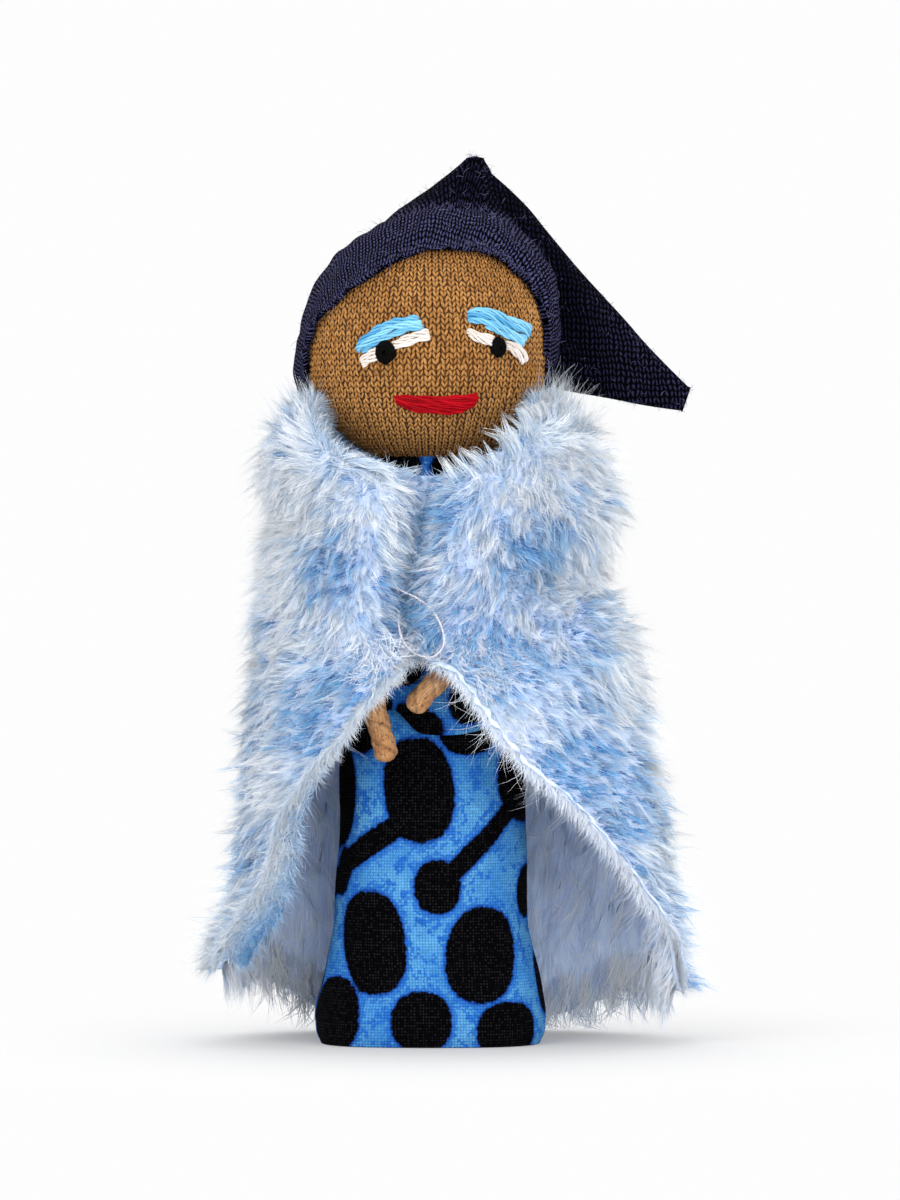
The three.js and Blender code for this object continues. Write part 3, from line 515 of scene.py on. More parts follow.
def strand_finish(name, root, tip, shade_root, shade_tip, roughness=0.6, sheen=0.0, specular=0.3, through=0.0,
                  frosted=False, light=STUDIO):
    """Colour runs from root to tip along each strand, and from the first pair to the second pair of
    colours with the strand's own shade. A frosted strand keeps its root's colour for longer."""
    material, tree, shader = new_finish(name, roughness, sheen, specular)
    flat = add_node(tree, "ShaderNodeUVMap", uv_map="strand").outputs[0]
    split = add_node(tree, "ShaderNodeSeparateXYZ", {0: flat})
    way = band(tree, split.outputs[1], 0.15, 0.85) if frosted else split.outputs[1]
    first = blend(tree, way, rgb(*root, light), rgb(*tip, light))
    second = blend(tree, way, rgb(*shade_root, light), rgb(*shade_tip, light))
    colour = blend(tree, split.outputs[0], first, second)
    tree.links.new(colour, shader.inputs["Base Color"])
    if through:
        let_through(tree, shader, colour, through)
    return material


tan_yarn = strand_finish(
    "tan knitting yarn", (122, 80, 38), (149, 102, 52), (160, 112, 61), (181, 132, 77), 0.8, 0.0, 0.1)
blue_floss = strand_finish(
    "sky blue floss", (46, 126, 176), (80, 158, 200), (116, 184, 218), (140, 200, 228), 0.5, 0.0, 0.14)
white_floss = strand_finish(
    "white floss", (188, 176, 168), (204, 194, 186), (220, 210, 202), (232, 224, 218), 0.5, 0.0, 0.14)
black_floss = strand_finish("black floss", (1, 1, 2), (3, 3, 4), (8, 8, 9), (12, 12, 13), 0.7, 0.0, 0.03)
red_floss = strand_finish("red floss", (112, 0, 8), (140, 0, 12), (172, 0, 18), (194, 2, 24), 0.6, 0.0, 0.06)
white_thread = strand_finish(
    "white thread", (206, 204, 216), (214, 212, 222), (222, 220, 228), (230, 228, 236), 0.7, 0.0, 0.1)
lint = strand_finish("navy lint", (40, 40, 84), (60, 60, 108), (84, 84, 130), (130, 132, 160), 0.8)
fur = strand_finish(
    "blue fur", (46, 132, 208), (110, 182, 231), (216, 232, 246), (252, 252, 253), 0.85,
    0.0, 0.1, 0.46, True, 0.94)
pale_fur = strand_finish(
    "pale fur lining", (168, 196, 240), (198, 221, 252), (230, 240, 253), (253, 254, 255), 0.85,
    0.0, 0.1, 0.3, False, 0.96)
print("strand finishes", 9)

# %% [markdown]
# ## Dress
# The skirt and the bodice are tubes of printed cotton drawn over the filling. A ring of the dress is a
# superellipse, which is an ellipse with squarer shoulders: cosine and sine are raised to a power below
# 1. The tube is closed by a flat base below. The cloth is nearly smooth on the real doll, so its
# creases are worked into the surface in code: a few shallow hollows, a pull at the waist and a soft
# thread-fine waviness.

# %% Shape of the dress
skirt_half_width, skirt_half_depth = column_of(SKIRT, 1, 0.8), column_of(SKIRT, 2, 0.8)
bodice_half_width, bodice_half_depth = column_of(BODICE, 1, 1.5), column_of(BODICE, 2, 1.5)


def lean(z):
    """How far the body's middle has moved across at a height, towards the head."""
    return HEAD[0] * ease(z, WAIST, NECK_FOOT)


def dress_ring(t, half_width, half_depth, z):
    """Point of a superellipse at angle t, where 0 is the middle of the back and pi the front."""
    power = 2 / (2.7 + (2.0 - 2.7) * ease(z, WAIST, NECK_FOOT))
    x = half_width * np.sign(np.sin(t)) * np.abs(np.sin(t)) ** power
    y = half_depth * np.sign(np.cos(t)) * np.abs(np.cos(t)) ** power
    return np.stack([x + lean(z), y, z + 0 * x], -1)


def round_the_dress(points):
    """Distance round each ring from the middle of the front, left negative, for a grid of rings that
    starts and ends at the middle of the back."""
    steps = np.linalg.norm(np.diff(points, axis=1), axis=2)
    run = np.concatenate([np.zeros((len(points), 1)), np.cumsum(steps, axis=1)], axis=1)
    return run[:, -1:] / 2 - run


def even_ring(count, half_width, half_depth, z):
    """Angles whose points lie at even distances round a ring, measured on a fine ring first."""
    fine = np.linspace(0, TAU, 1441)
    ring = dress_ring(fine, half_width, half_depth, z)
    run = run_along(ring)
    return np.interp(np.linspace(0, run[-1], count), run, fine)


def dress_rings(count, half_width, half_depth, heights):
    """A ring at each height, with its points at even distances."""
    sizes = [(float(half_width(z)), float(half_depth(z)), z) for z in heights]
    return np.array([dress_ring(even_ring(count, *size), *size) for size in sizes])


# %% [markdown]
# ## Print
# The print is a common one: black ovals and a few joining bars on mottled blue. It is worked out as a
# distance in mm to the nearest black shape, negative inside, on every point of the cloth. The material
# then cuts it at zero, so that its edge is crisp between the points. The shapes at the front sit where
# the real ones do, and those of the sides and back carry on at the same spacing.

# %% Shapes of the print
OVALS = [   # pixel across, pixel down, half width, half height, tilt in degrees
    (419, 792, 35, 52, 6), (437.6, 887.7, 22.5, 26.5, 0), (373, 943, 35, 50.6, 7),
    (480.5, 955, 36, 47.5, -13), (326, 1017, 38, 39, 10), (420.5, 1021, 29, 30, 0),
    (506.5, 1031, 33.5, 29.5, 0), (466.6, 733, 28, 24, 0), (361, 726, 20, 30, 0)]
BODICE_OVALS = [(467, 700, 19, 21.5, 0), (421, 717, 25, 12, -28), (377, 708, 18, 19, 0)]
SIDE_OVALS = [   # mm round from the middle of the front, height, half width, half height
    (-14.8, 32.0, 4.1, 7.0), (14.3, 34.2, 5.6, 6.0), (-16.5, 20.5, 2.4, 2.0), (18.6, 7.2, 2.6, 3.8),
    (15.4, 19.2, 2.8, 3.4), (-22.5, 11.0, 4.2, 6.4), (-23.5, 27.0, 4.4, 6.2), (23.0, 14.6, 3.2, 3.4),
    (24.5, 27.5, 4.4, 6.4), (-31.5, 18.5, 3.2, 3.4), (-32.5, 5.0, 4.2, 4.4), (-33.0, 33.5, 4.4, 6.0),
    (32.5, 20.5, 4.3, 6.3), (31.0, 5.5, 4.0, 4.4), (33.5, 34.0, 3.3, 3.6), (0.0, 60.5, 4.2, 5.8),
    (-9.5, 54.0, 4.4, 5.0), (9.0, 54.5, 3.6, 3.8), (-4.5, 49.0, 3.2, 2.6), (11.8, 47.6, 3.0, 3.0),
    (-7.6, 67.5, 4.4, 4.2), (8.0, 67.0, 4.2, 5.4), (-19.0, 62.0, 4.2, 5.4), (18.5, 62.0, 4.2, 5.4),
    (-22.0, 47.5, 4.2, 4.4), (21.0, 46.5, 4.4, 4.6), (28.0, 57.0, 4.2, 5.4), (-29.0, 55.0, 4.2, 5.4),
    (-5.4, 74.8, 4.4, 3.2), (5.6, 74.6, 5.2, 2.8), (14.5, 72.5, 4.2, 3.4), (-15.5, 73.0, 3.8, 3.2)]
BARS = [   # from, to in pixels, half width in mm
    ((401, 826), (341, 866), 1.45), ((341, 862), (332, 885), 1.6), ((447, 879), (513, 812), 1.25)]
SIDE_BARS = [
    ((23.0, 15.5), (31.5, 22.0), 1.25), ((-31.5, 19.5), (-25.0, 25.5), 1.3),
    ((33.5, 33.0), (28.0, 27.5), 1.25)]


def oval_distance(s, z, middle, height, half_width, half_height, tilt=0.0):
    """Near enough the distance to a tilted oval: its unit radius less 1, times its mean half size."""
    turn = math.radians(tilt)
    a, b = s - middle, z - height
    a, b = a * math.cos(turn) + b * math.sin(turn), b * math.cos(turn) - a * math.sin(turn)
    ring = (np.abs(a / half_width) ** 2.3 + np.abs(b / half_height) ** 2.3) ** (1 / 2.3)
    return (ring - 1) * min(half_width, half_height)


def bar_distance(s, z, start, end, half_width):
    """Distance to the line from start to end, less the bar's half width."""
    (a, b), (c, d) = start, end
    share = np.clip(((s - a) * (c - a) + (z - b) * (d - b)) / ((c - a) ** 2 + (d - b) ** 2), 0, 1)
    return np.hypot(s - a - share * (c - a), z - b - share * (d - b)) - half_width


def print_distance(s, z, ovals):
    """Distance to the nearest black shape of the print, for places round and up the dress in mm."""
    found = []
    for px, py, half_width, half_height, tilt in ovals:
        x, height = from_picture(px, py)
        found.append(oval_distance(s, z, x * 1.03, height, half_width * PIXEL, half_height * PIXEL, tilt))
    for start, end, half_width in BARS:
        ends = from_picture(*start) * [1.03, 1], from_picture(*end) * [1.03, 1]
        found.append(bar_distance(s, z, *ends, half_width))
    for row in SIDE_OVALS:
        found.append(oval_distance(s, z, *row))
    for start, end, half_width in SIDE_BARS:
        found.append(bar_distance(s, z, start, end, half_width))
    return np.min(found, axis=0)


# %% [markdown]
# ## Printed cotton
# On the photograph the weave shows as a fine grid of light dots, also in the black. Ink has crept
# along the threads, so the edge of each black shape steps from thread to thread, and round it lies a
# darker, blotchy rim. Both come from reading the noise once per thread crossing instead of at every
# point.

# %% Finish of the dress
def make_printed_cotton():
    material, tree, shader = new_finish("printed cotton", 0.9, 0.0, 0.02)
    place = on_cloth(tree)
    weave = use_group(tree, weave_group, Place=place, Thread=0.38)
    crossing = vectors(tree, "SNAP", place, (0.38, 0.38, 0.38))
    edge = point_value(tree, "print_distance")
    wobble = sums(tree, "MULTIPLY", sums(tree, "SUBTRACT", noise(tree, place, 1.3, 3.0), 0.5), 0.7)
    stepped = sums(tree, "MULTIPLY", sums(tree, "SUBTRACT", noise(tree, crossing, 2.3, 1.0), 0.5), 0.3)
    edge = sums(tree, "ADD", edge, sums(tree, "ADD", wobble, stepped))
    jitter = sums(tree, "MULTIPLY", sums(tree, "SUBTRACT", weave["Fleck"], 0.5), 0.16)
    blots = sums(tree, "ADD", noise(tree, place, 0.42, 3.0, 0.62), jitter)
    specks = sums(tree, "ADD", noise(tree, place, 1.3, 1.0), sums(tree, "MULTIPLY", jitter, 2.2))
    light, mid, deep = rgb(88, 156, 206), rgb(36, 102, 186), rgb(12, 56, 146)
    ground = blend(tree, band(tree, noise(tree, place, 0.16, 2.0), 0.35, 0.7), light, rgb(60, 130, 196))
    ground = blend(tree, band(tree, blots, 0.54, 0.6), ground, mid)
    rim_reach = sums(tree, "ADD", sums(tree, "MULTIPLY", specks, 2.4), -0.55)
    rim = sums(tree, "SUBTRACT", 1.0, band(tree, sums(tree, "SUBTRACT", edge, rim_reach), -0.05, 0.12))
    ground = blend(tree, sums(tree, "MULTIPLY", rim, 0.85), ground, mid)
    close = sums(tree, "SUBTRACT", 1.0, band(tree, edge, 0.05, 0.34))
    ground = blend(tree, sums(tree, "MULTIPLY", close, 0.75), ground, deep)
    colour = blend(tree, band(tree, edge, -0.08, 0.10), rgb(4, 3, 5), ground)
    threads = band(tree, weave["Height"], 0.05, 0.9)
    shadow = blend(tree, threads, (0.58, 0.61, 0.68, 1), (1.0, 1.0, 1.0, 1))
    colour = blend(tree, 1.0, colour, shadow, "MULTIPLY")
    uneven = blend(tree, weave["Fleck"], (0.86, 0.87, 0.90, 1), (1.12, 1.11, 1.08, 1))
    colour = blend(tree, 1.0, colour, uneven, "MULTIPLY")
    lit = sums(tree, "MULTIPLY", band(tree, weave["Height"], 0.6, 0.98), sums(
        tree, "MULTIPLY", band(tree, weave["Fleck"], 0.2, 1.0), 0.022))
    colour = blend(tree, lit, colour, rgb(206, 214, 226))
    tree.links.new(colour, shader.inputs["Base Color"])
    bumped(tree, shader, weave["Height"], 0.00012, 0.8)
    return material


printed_cotton = make_printed_cotton()
print("printed cotton", len(printed_cotton.node_tree.nodes), "nodes")


# %% Skirt
def crease(points, seed, depth):
    """Moves points in and out along their own direction from the middle by gentle waves, longer up
    and down than across, as stuffed cloth does."""
    stretched = points * np.array([1.0, 1.0, 0.45])
    amount = depth * (0.7 * waves_at(stretched, 11.0, seed) + 0.3 * waves_at(stretched, 5.0, seed + 1))
    return points + amount[..., None] * unit(points * [1, 1, 0])


def make_skirt():
    """The side is a stack of rings, and the base closes it with rings that shrink to the middle. The
    foot's edge is rounded by the table itself."""
    columns = 201
    heights = np.concatenate([np.linspace(0, 2.4, 13), np.linspace(2.7, WAIST, 118)])
    rings = dress_rings(columns, skirt_half_width, skirt_half_depth, heights)
    s = round_the_dress(rings)
    rings = rings[:, :-1]
    soft = ease(heights, 2, 8)[:, None] * (1 - 0.5 * ease(heights, 38, 43)[:, None])
    rings = rings + (crease(rings, 21, 0.28) - rings) * soft[..., None]
    waist_in = 0.25 * np.exp(-((heights - 15.5) / 6.0) ** 2)[:, None]
    rings[..., 0] -= 0.3 * ease(heights, 6, 14)[:, None] + waist_in * ease(rings[..., 0], 4, 12)
    rings[..., 0] -= 0.9 * ease(9 - heights, 0, 6)[:, None] * ease(-rings[..., 0], 2, 12)
    base = np.array([0, 0, 0.35]) + (rings[0] - [0, 0, 0.35]) * np.linspace(0.03, 0.96, 8)[:, None, None]
    base[..., 2] = 0.0
    grid = np.concatenate([base, rings])
    rows = len(grid)
    faces, row, column = grid_faces(rows, columns - 1, joined=True)
    points = np.concatenate([grid.reshape(-1, 3), [[0, 0, 0]]])
    place_s = np.concatenate([np.repeat(s[:1], len(base), axis=0), s])
    place_z = np.concatenate([np.linspace(-11, -0.3, len(base)), heights])[:, None] + 0 * place_s
    cloth = np.stack([place_s, place_z], -1)
    quads, pairs = mapped(points, faces, row, column, cloth, (0, 0, 20))
    maps = np.concatenate([pairs, np.repeat(cloth[0, :-1], 3, axis=0)])
    distance = print_distance(place_s[:, :-1] - 0.3, np.maximum(place_z[:, :-1] - 0.6, -6), OVALS)
    sole = outwards(points, fan(0, columns - 1, len(points) - 1), (0, 0, 20))
    made = piece("skirt_cloth", points, [quads, sole], printed_cotton, "doll_body",
                 {"cloth": maps}, {"print_distance": np.append(distance, 1.0)})
    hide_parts("skirt")


make_skirt()

# %% [markdown]
# The bodice laps over the skirt: its lower edge is turned under, so it stands a little proud and waves
# round the waist, as the photograph shows in the middle of the front.


# %% Bodice
HEM_LINE = [   # mm round from the middle of the front, height of the bodice's lower edge
    [-36, 42.4], [-24, 42.0], [-14, 42.3], [-8, 43.4], [-5, 43.8], [-3.2, 41.9], [-2.2, 40.7],
    [0.6, 40.4], [3.2, 40.5], [6.0, 41.0], [8, 41.9], [11, 42.6], [18, 42.4], [28, 42.0], [36, 42.4]]


def make_bodice():
    """Rings of the bodice, with the lowest rows rolled under by half a turn of a small circle."""
    columns = 161
    edge = column_of(HEM_LINE, 1, 0.7)
    fine_heights = np.linspace(41.0, 76.0, 96)
    rings = dress_rings(columns, bodice_half_width, bodice_half_depth, fine_heights)
    s = round_the_dress(rings)
    lift = np.clip(1 - (fine_heights - 41.0) / 9.0, 0, 1)[:, None] * (edge(s[0]) - 41.0)[None]
    rings = rings[:, :-1].copy()
    rings[..., 2] += lift[:, :-1]
    rings = crease(rings, 33, 0.3)
    gather = 0.25 * np.sin(s[:, :-1] * 1.9 + 2 * waves_at(rings, 14, 5)) * ease(fine_heights, 66, 74)[:, None]
    rings = rings + gather[..., None] * unit(rings * [1, 1, 0])
    out = unit(rings[0] * [1, 1, 0])
    turn = np.linspace(1.0, 0.12, 7)[:, None, None] * math.pi
    fold = rings[0] - 0.33 * out + 0.33 * np.cos(turn) * out - 0.33 * np.sin(turn) * np.array([0, 0, 1.0])
    under = rings[8] - 0.75 * out
    top = rings[-1] + np.array([0, 0, 0.25]) - 0.5 * unit(rings[-1] * [1, 1, 0])
    tuck = rings[-12] - 1.0 * unit(rings[-12] * [1, 1, 0])
    grid = np.concatenate([under[None], fold, rings, top[None], tuck[None]])
    place_s = np.concatenate([np.repeat(s[:1], 8, axis=0), s, np.repeat(s[-1:], 2, axis=0)])
    lower, upper = np.repeat(rings[:1, :, 2], 8, axis=0), np.repeat(rings[-1:, :, 2], 2, axis=0)
    z_of = np.concatenate([lower, rings[..., 2], upper])
    z_of = np.concatenate([z_of, z_of[:, :1]], axis=1)
    cloth = np.stack([place_s + 1.7, z_of - 0.9], -1)
    quads, pairs = mapped(grid, *grid_faces(len(grid), columns - 1, joined=True), cloth, (0, 0, 55))
    made = piece("bodice_cloth", grid, [quads], printed_cotton, "doll_body",
                 {"cloth": pairs},
                 {"print_distance": print_distance(place_s[:, :-1], z_of[:, :-1], BODICE_OVALS)})
    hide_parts("bodice")


make_bodice()

# %% [markdown]
# ## Head
# The head is a ball of fine tan jersey over filling. Each stitch of jersey is a V of yarn. Close up the
# Vs are what the eye sees, so they are real: two bowed legs of yarn per stitch, laid in columns over a
# darker ball, whose darker colour is painted shade in the gaps between them. The columns run from the
# crown down to the gathered neck and draw together below.

# %% Head's ball
def ball_half(up):
    """The ball's half height: one value below the widest part and another above it."""
    return np.where(np.asarray(up) > 0, HEAD_CROWN, HEAD_HALF_HEIGHT + 0.6)


def on_head(azimuth, latitude, lift=0.0):
    """Point of the ball at an angle round from the front and an angle up, lifted along its normal."""
    tall = ball_half(latitude)
    x = HEAD_R * np.cos(latitude) * np.sin(azimuth)
    y = -HEAD_R * np.cos(latitude) * np.cos(azimuth)
    z = tall * np.sin(latitude)
    normal = unit(np.stack([x / HEAD_R ** 2, y / HEAD_R ** 2, z / tall ** 2], -1))
    return HEAD + np.stack([x, y, z], -1) + np.asarray(lift)[..., None] * normal, normal


def make_head_ball():
    """The outline of half the head, turned round the neck's axis: neck, ball and a closed crown."""
    start = -math.acos(NECK_R / HEAD_R)
    latitude = np.linspace(start, math.pi / 2, 60)[:-1]
    radius = HEAD_R * np.cos(latitude) - 0.12
    height = HEAD[2] + (ball_half(latitude) - 0.12) * np.sin(latitude)
    neck_heights = np.linspace(NECK_FOOT, height[0] - 0.3, 14)
    pleats = np.concatenate([np.full(14, 0.16), 0.16 * np.clip(1 - (height - height[0]) / 2.5, 0, 1)])
    radius = np.concatenate([np.full(14, NECK_R), radius])
    height = np.concatenate([neck_heights, height])
    sides = 120
    turn = TAU * np.arange(sides) / sides
    wide = radius[:, None] + pleats[:, None] * np.sin(22 * turn)
    ball = np.stack([wide * np.sin(turn), -wide * np.cos(turn), height[:, None] + 0 * wide], -1)
    grid = HEAD * [1, 1, 0] + ball
    points = np.concatenate([grid.reshape(-1, 3), [HEAD + [0, 0, HEAD_CROWN - 0.12]]])
    round_it, up_it = np.arange(sides + 1) * (98 / sides), (height[:, None] - HEAD[2]) * 1.25
    cloth = np.stack(np.broadcast_arrays(round_it, up_it), -1)
    quads, pairs = mapped(points, *grid_faces(len(grid), sides, joined=True), cloth, HEAD)
    cap = outwards(points, fan((len(grid) - 1) * sides, sides, len(points) - 1), HEAD)
    return points, [quads, cap], {"cloth": np.concatenate([pairs, np.zeros((len(cap) * 3, 2))])}


def make_head_jersey():
    material, tree, shader = new_finish("tan jersey ground", 0.9, 0.1, 0.15)
    place = on_cloth(tree)
    knit = use_group(tree, knit_group, Place=place, Width=1.0, Row=0.95)
    fleck = use_group(tree, fleck_group, Place=millimetres(tree), Fine=5.0, Broad=0.2)
    # Painted shade: the ground is darker between the knit's legs than on them.
    colour = blend(tree, knit["Height"], rgb(70, 41, 18), rgb(139, 90, 43))
    colour = blend(tree, band(tree, fleck["Fine fleck"], 0.45, 0.75), colour, rgb(108, 68, 32))
    tree.links.new(colour, shader.inputs["Base Color"])
    bumped(tree, shader, knit["Height"], 0.0002)
    return material


points, face_sets, maps = make_head_ball()
head_ball = piece("head_ball", points, face_sets, make_head_jersey(), "head", maps)
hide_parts("head_cover")

# %% Stitches of the head
WALES = 96            # columns of stitches round the widest part
COURSE = 0.74         # mm from row to row
REACH = math.radians(118)


def latitude_at(run):
    """Angle up of a place whose distance along the outline from the widest part is given, in mm."""
    fine = np.linspace(-1.45, 1.45, 2001)
    step = np.hypot(np.diff(HEAD_R * np.cos(fine)), np.diff(ball_half(fine) * np.sin(fine)))
    length = np.concatenate([[0], np.cumsum(step)])
    length -= np.interp(0.0, fine, length)
    return np.interp(run, length, fine)


def stitch_place(wale, course, lift):
    """Point on the head for a place counted in columns and rows. Columns draw together towards the
    crown and neck only half as fast as the ball does, because the jersey is stretched there."""
    latitude = latitude_at(course * COURSE)
    azimuth = wale * (TAU / WALES) / np.cos(latitude) ** 0.55
    wander = 0.05 * np.sin(course * 0.31 + wale * 0.7) + 0.05 * np.sin(course * 0.113 - wale * 1.9)
    return on_head(azimuth + wander * TAU / WALES, latitude, lift)


def make_stitches():
    """Each leg runs from the middle of its column outwards and up, bowed out of the cloth by a sine
    and tucked under the next row at its end. Legs end in points."""
    local = np.random.default_rng(4)
    wale, course = np.meshgrid(np.arange(-32, 33), np.arange(-26, 28), indexing="ij")
    wale, course = wale.ravel().astype(float), course.ravel().astype(float)
    latitude = latitude_at(course * COURSE)
    azimuth = wale * (TAU / WALES) / np.cos(latitude) ** 0.55
    outline = np.array(FACE_OPENING)
    across = HEAD_R * np.cos(latitude) * np.sin(azimuth)
    hood_from = np.interp(across, outline[:, 0], outline[:, 1]) + 2.4
    behind = (np.abs(azimuth) > 1.7) & (latitude > -0.35)
    under_hood = (ball_half(latitude) * np.sin(latitude) > hood_from) | behind
    keep = (np.abs(azimuth) < REACH) & ~under_hood & (latitude > -1.28)
    wale, course = np.repeat(wale[keep], 2), np.repeat(course[keep], 2)
    hand = np.tile([-1.0, 1.0], len(wale) // 2)
    t = np.array([0.0, 0.22, 0.5, 0.78, 1.0])
    w = wale[:, None] + hand[:, None] * (0.05 + 0.40 * t ** 0.9) + local.normal(0, 0.06, (len(wale), 1))
    c = course[:, None] - 0.15 + (1.28 + local.normal(0, 0.12, (len(wale), 1))) * t
    bow = -0.14 + 0.32 * np.sin(math.pi * (0.08 + 0.84 * t)) + local.normal(0, 0.03, (len(wale), 1))
    paths, normal = stitch_place(w, c, bow)
    narrow = np.cos(latitude_at(course * COURSE))[:, None] ** 0.45
    radius = 0.175 * narrow * np.array([0.5, 1.0, 1.05, 0.95, 0.4])
    radius = radius * (1 + local.normal(0, 0.12, (len(wale), 1)))
    # Painted light: stitches are lighter towards the chin, where the head lies in the shade of the collar.
    shade = np.clip(0.42 + 0.18 * waves_at(paths[:, 2], 9.0, 8) + local.normal(0, 0.22, len(wale))
                    + 0.6 * ease(HEAD[2] - paths[:, 2, 2], 3, 13), 0, 1.3)
    return paths, radius, normal, shade


def add_stitches():
    paths, radius, normal, shade = make_stitches()
    lower = paths[:, 2, 2] < HEAD[2]
    for name, part in (("head_stitches_lower", lower), ("head_stitches_upper", ~lower)):
        points, quads, ends, tube, along = tubes(paths[part], radius[part], 4, 0.8, normal[part])
        maps = strand_maps([quads, ends], shade[part][tube], np.sin(math.pi * along))
        piece(name, points, [quads, ends], tan_yarn, "head", maps)


add_stitches()

# %% [markdown]
# ## Stitched face
# The brows, the whites of the eyes and the mouth are laid stitches of stranded cotton: each stitch is
# a bundle of fine strands that twist slowly round one another. A helper lays such a bundle along a line
# on the face. Every bundle is lifted off the knit by its own thickness.

# %% Tools for floss
def face_line(line, count):
    """A smooth path over the head through points given across and up from its middle."""
    flat = smooth_path(line, count)
    x, z = flat[:, 0], flat[:, 1]
    latitude = np.arcsin(np.clip(z / ball_half(z), -1, 1))
    azimuth = np.arcsin(np.clip(x / (HEAD_R * np.cos(latitude)), -1, 1))
    return on_head(azimuth, latitude)


def floss(line, width, height, seed, strands_in=4, twist=4.5, strand_r=0.17, count=34, ends=0.3):
    """Paths of the strands of one laid stitch. Strand k sits on a turning circle round the line, as
    cos and sin of 2 pi (k / n + distance / twist), flattened to the stitch's width and height. Both
    ends dive into the knit."""
    local = np.random.default_rng(seed)
    middle, normal = face_line(line, count)
    going = unit(np.gradient(middle, axis=0))
    across = np.cross(normal, going)
    run = run_along(middle)
    t = run / run[-1]
    k = np.arange(strands_in)[:, None]
    phase = TAU * (k / strands_in + run / twist) + local.uniform(0, TAU)
    reach = np.where(k == 0, 0.25, 0.75 + local.normal(0, 0.1, (strands_in, 1)))
    dive = 1 - np.maximum(1 - t / 0.10, 0) ** 2 - np.maximum((t - 0.90) / 0.10, 0) ** 2
    side = reach * np.cos(phase) * width / 2 * (ends + (1 - ends) * np.sqrt(np.clip(dive, 0, 1)))
    lift = 0.22 + (0.5 + 0.5 * reach * np.sin(phase)) * height
    lift = (lift + 0.25) * dive - 0.25
    paths = middle + side[..., None] * across + lift[..., None] * normal
    radius = strand_r * (0.6 + 0.4 * np.sqrt(np.clip(dive, 0, 1))) * np.ones((strands_in, 1))
    return paths, radius, np.broadcast_to(normal, paths.shape)


def lay_floss(name, stitches, material, node, strand_r=0.17, twist=4.5, strands_in=4):
    """Makes one piece from several laid stitches, each given as (line, width, height, seed)."""
    laid = [floss(*s, strands_in=strands_in, twist=twist, strand_r=strand_r) for s in stitches]
    paths, radius, up = (np.concatenate([l[i] for l in laid]) for i in range(3))
    local = np.random.default_rng(len(stitches) + 5)
    per_stitch = np.repeat(local.uniform(0.25, 0.75, len(stitches)), strands_in)
    shade = np.clip(per_stitch + local.normal(0, 0.22, len(paths)), 0, 1)
    points, quads, ends, tube, along = tubes(paths, radius, 7, 1.0, up)
    made = piece(name, points, [quads, ends], material, "head",
                 strand_maps([quads, ends], shade[tube], along))
    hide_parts(node)


def px_line(*pixels):
    """A line on the face given by pixels of the photograph, from the head's middle. The face bulges
    towards the camera, so a pixel there is slightly less than one at the doll's middle."""
    line = []
    for px, py in pixels:
        x, z = from_picture(px, py)
        x, z = x - HEAD[0], z - HEAD[2]
        depth = HEAD_R * math.sqrt(max(0.02, 1 - (x / HEAD_R) ** 2 - (z / float(ball_half(z))) ** 2))
        shrink = 1 - depth / VIEW_DISTANCE
        line.append(((x + HEAD[0] - VIEW_MIDDLE[0]) * shrink + VIEW_MIDDLE[0] - HEAD[0],
                     (z + HEAD[2] - VIEW_MIDDLE[2]) * shrink + VIEW_MIDDLE[2] - HEAD[2] + depth * 0.0087))
    return line


# %% Brows
lay_floss("left_brow_floss", [
    (px_line((358.5, 349.5), (370, 336), (388, 325.5), (405, 320.8), (420, 319.6)), 0.85, 0.55, 1),
    (px_line((357, 352), (371, 341), (389, 330.5), (407, 325), (423, 323.4)), 0.85, 0.6, 2),
    (px_line((361, 351.5), (374, 345.5), (391, 336), (409, 330), (424.5, 327.4)), 0.80, 0.5, 3)],
    blue_floss, "left_brow", 0.185, 5.0)
lay_floss("right_brow_floss", [
    (px_line((466, 313.5), (480, 311.8), (499, 317), (517, 324), (530.5, 331)), 0.85, 0.55, 4),
    (px_line((466, 317.5), (481, 316.8), (499, 322.5), (515, 329), (529, 336)), 0.85, 0.6, 5),
    (px_line((467, 321), (482, 322), (498, 328), (512, 334.5), (526, 341)), 0.85, 0.55, 6),
    (px_line((484, 325.5), (497, 332), (510, 338.5), (523, 345.5)), 0.80, 0.45, 7)],
    blue_floss, "right_brow", 0.185, 5.0)

# %% Whites of the eyes
for name, node, stitches in (
    ("left_eye_outer_floss", "left_eye_outer_stitch", [
        (px_line((362, 361.5), (370, 355), (379, 349.5)), 0.85, 0.5, 11),
        (px_line((363, 364.5), (372, 360), (380, 354.5)), 0.8, 0.45, 12)]),
    ("left_eye_inner_floss", "left_eye_inner_stitch", [
        (px_line((392, 344.5), (404, 340), (417, 335.5), (429.5, 332)), 0.8, 0.5, 13),
        (px_line((393, 347.5), (405, 344.5), (418, 340.5), (430.5, 336.5)), 0.85, 0.5, 14)]),
    ("right_eye_inner_floss", "right_eye_inner_stitch", [
        (px_line((466.5, 331), (474, 333.5), (483, 336.5), (493, 339.5)), 0.75, 0.45, 15),
        (px_line((468.5, 334.5), (477, 339), (485, 341.5), (493, 343)), 0.8, 0.5, 16)]),
    ("right_eye_outer_floss", "right_eye_outer_stitch", [
        (px_line((503, 343.5), (511, 344.5), (519, 350.5), (524, 362.5)), 0.85, 0.5, 17),
        (px_line((503, 347.5), (510, 350), (516.5, 355.5), (521.5, 363)), 0.8, 0.45, 18)])):
    lay_floss(name, stitches, white_floss, node, 0.175, 5.0)


# %% [markdown]
# Each pupil is a knot: the floss is wound round itself a few times and pulled down on the knit, which
# leaves a small tight ball with a groove between its turns.


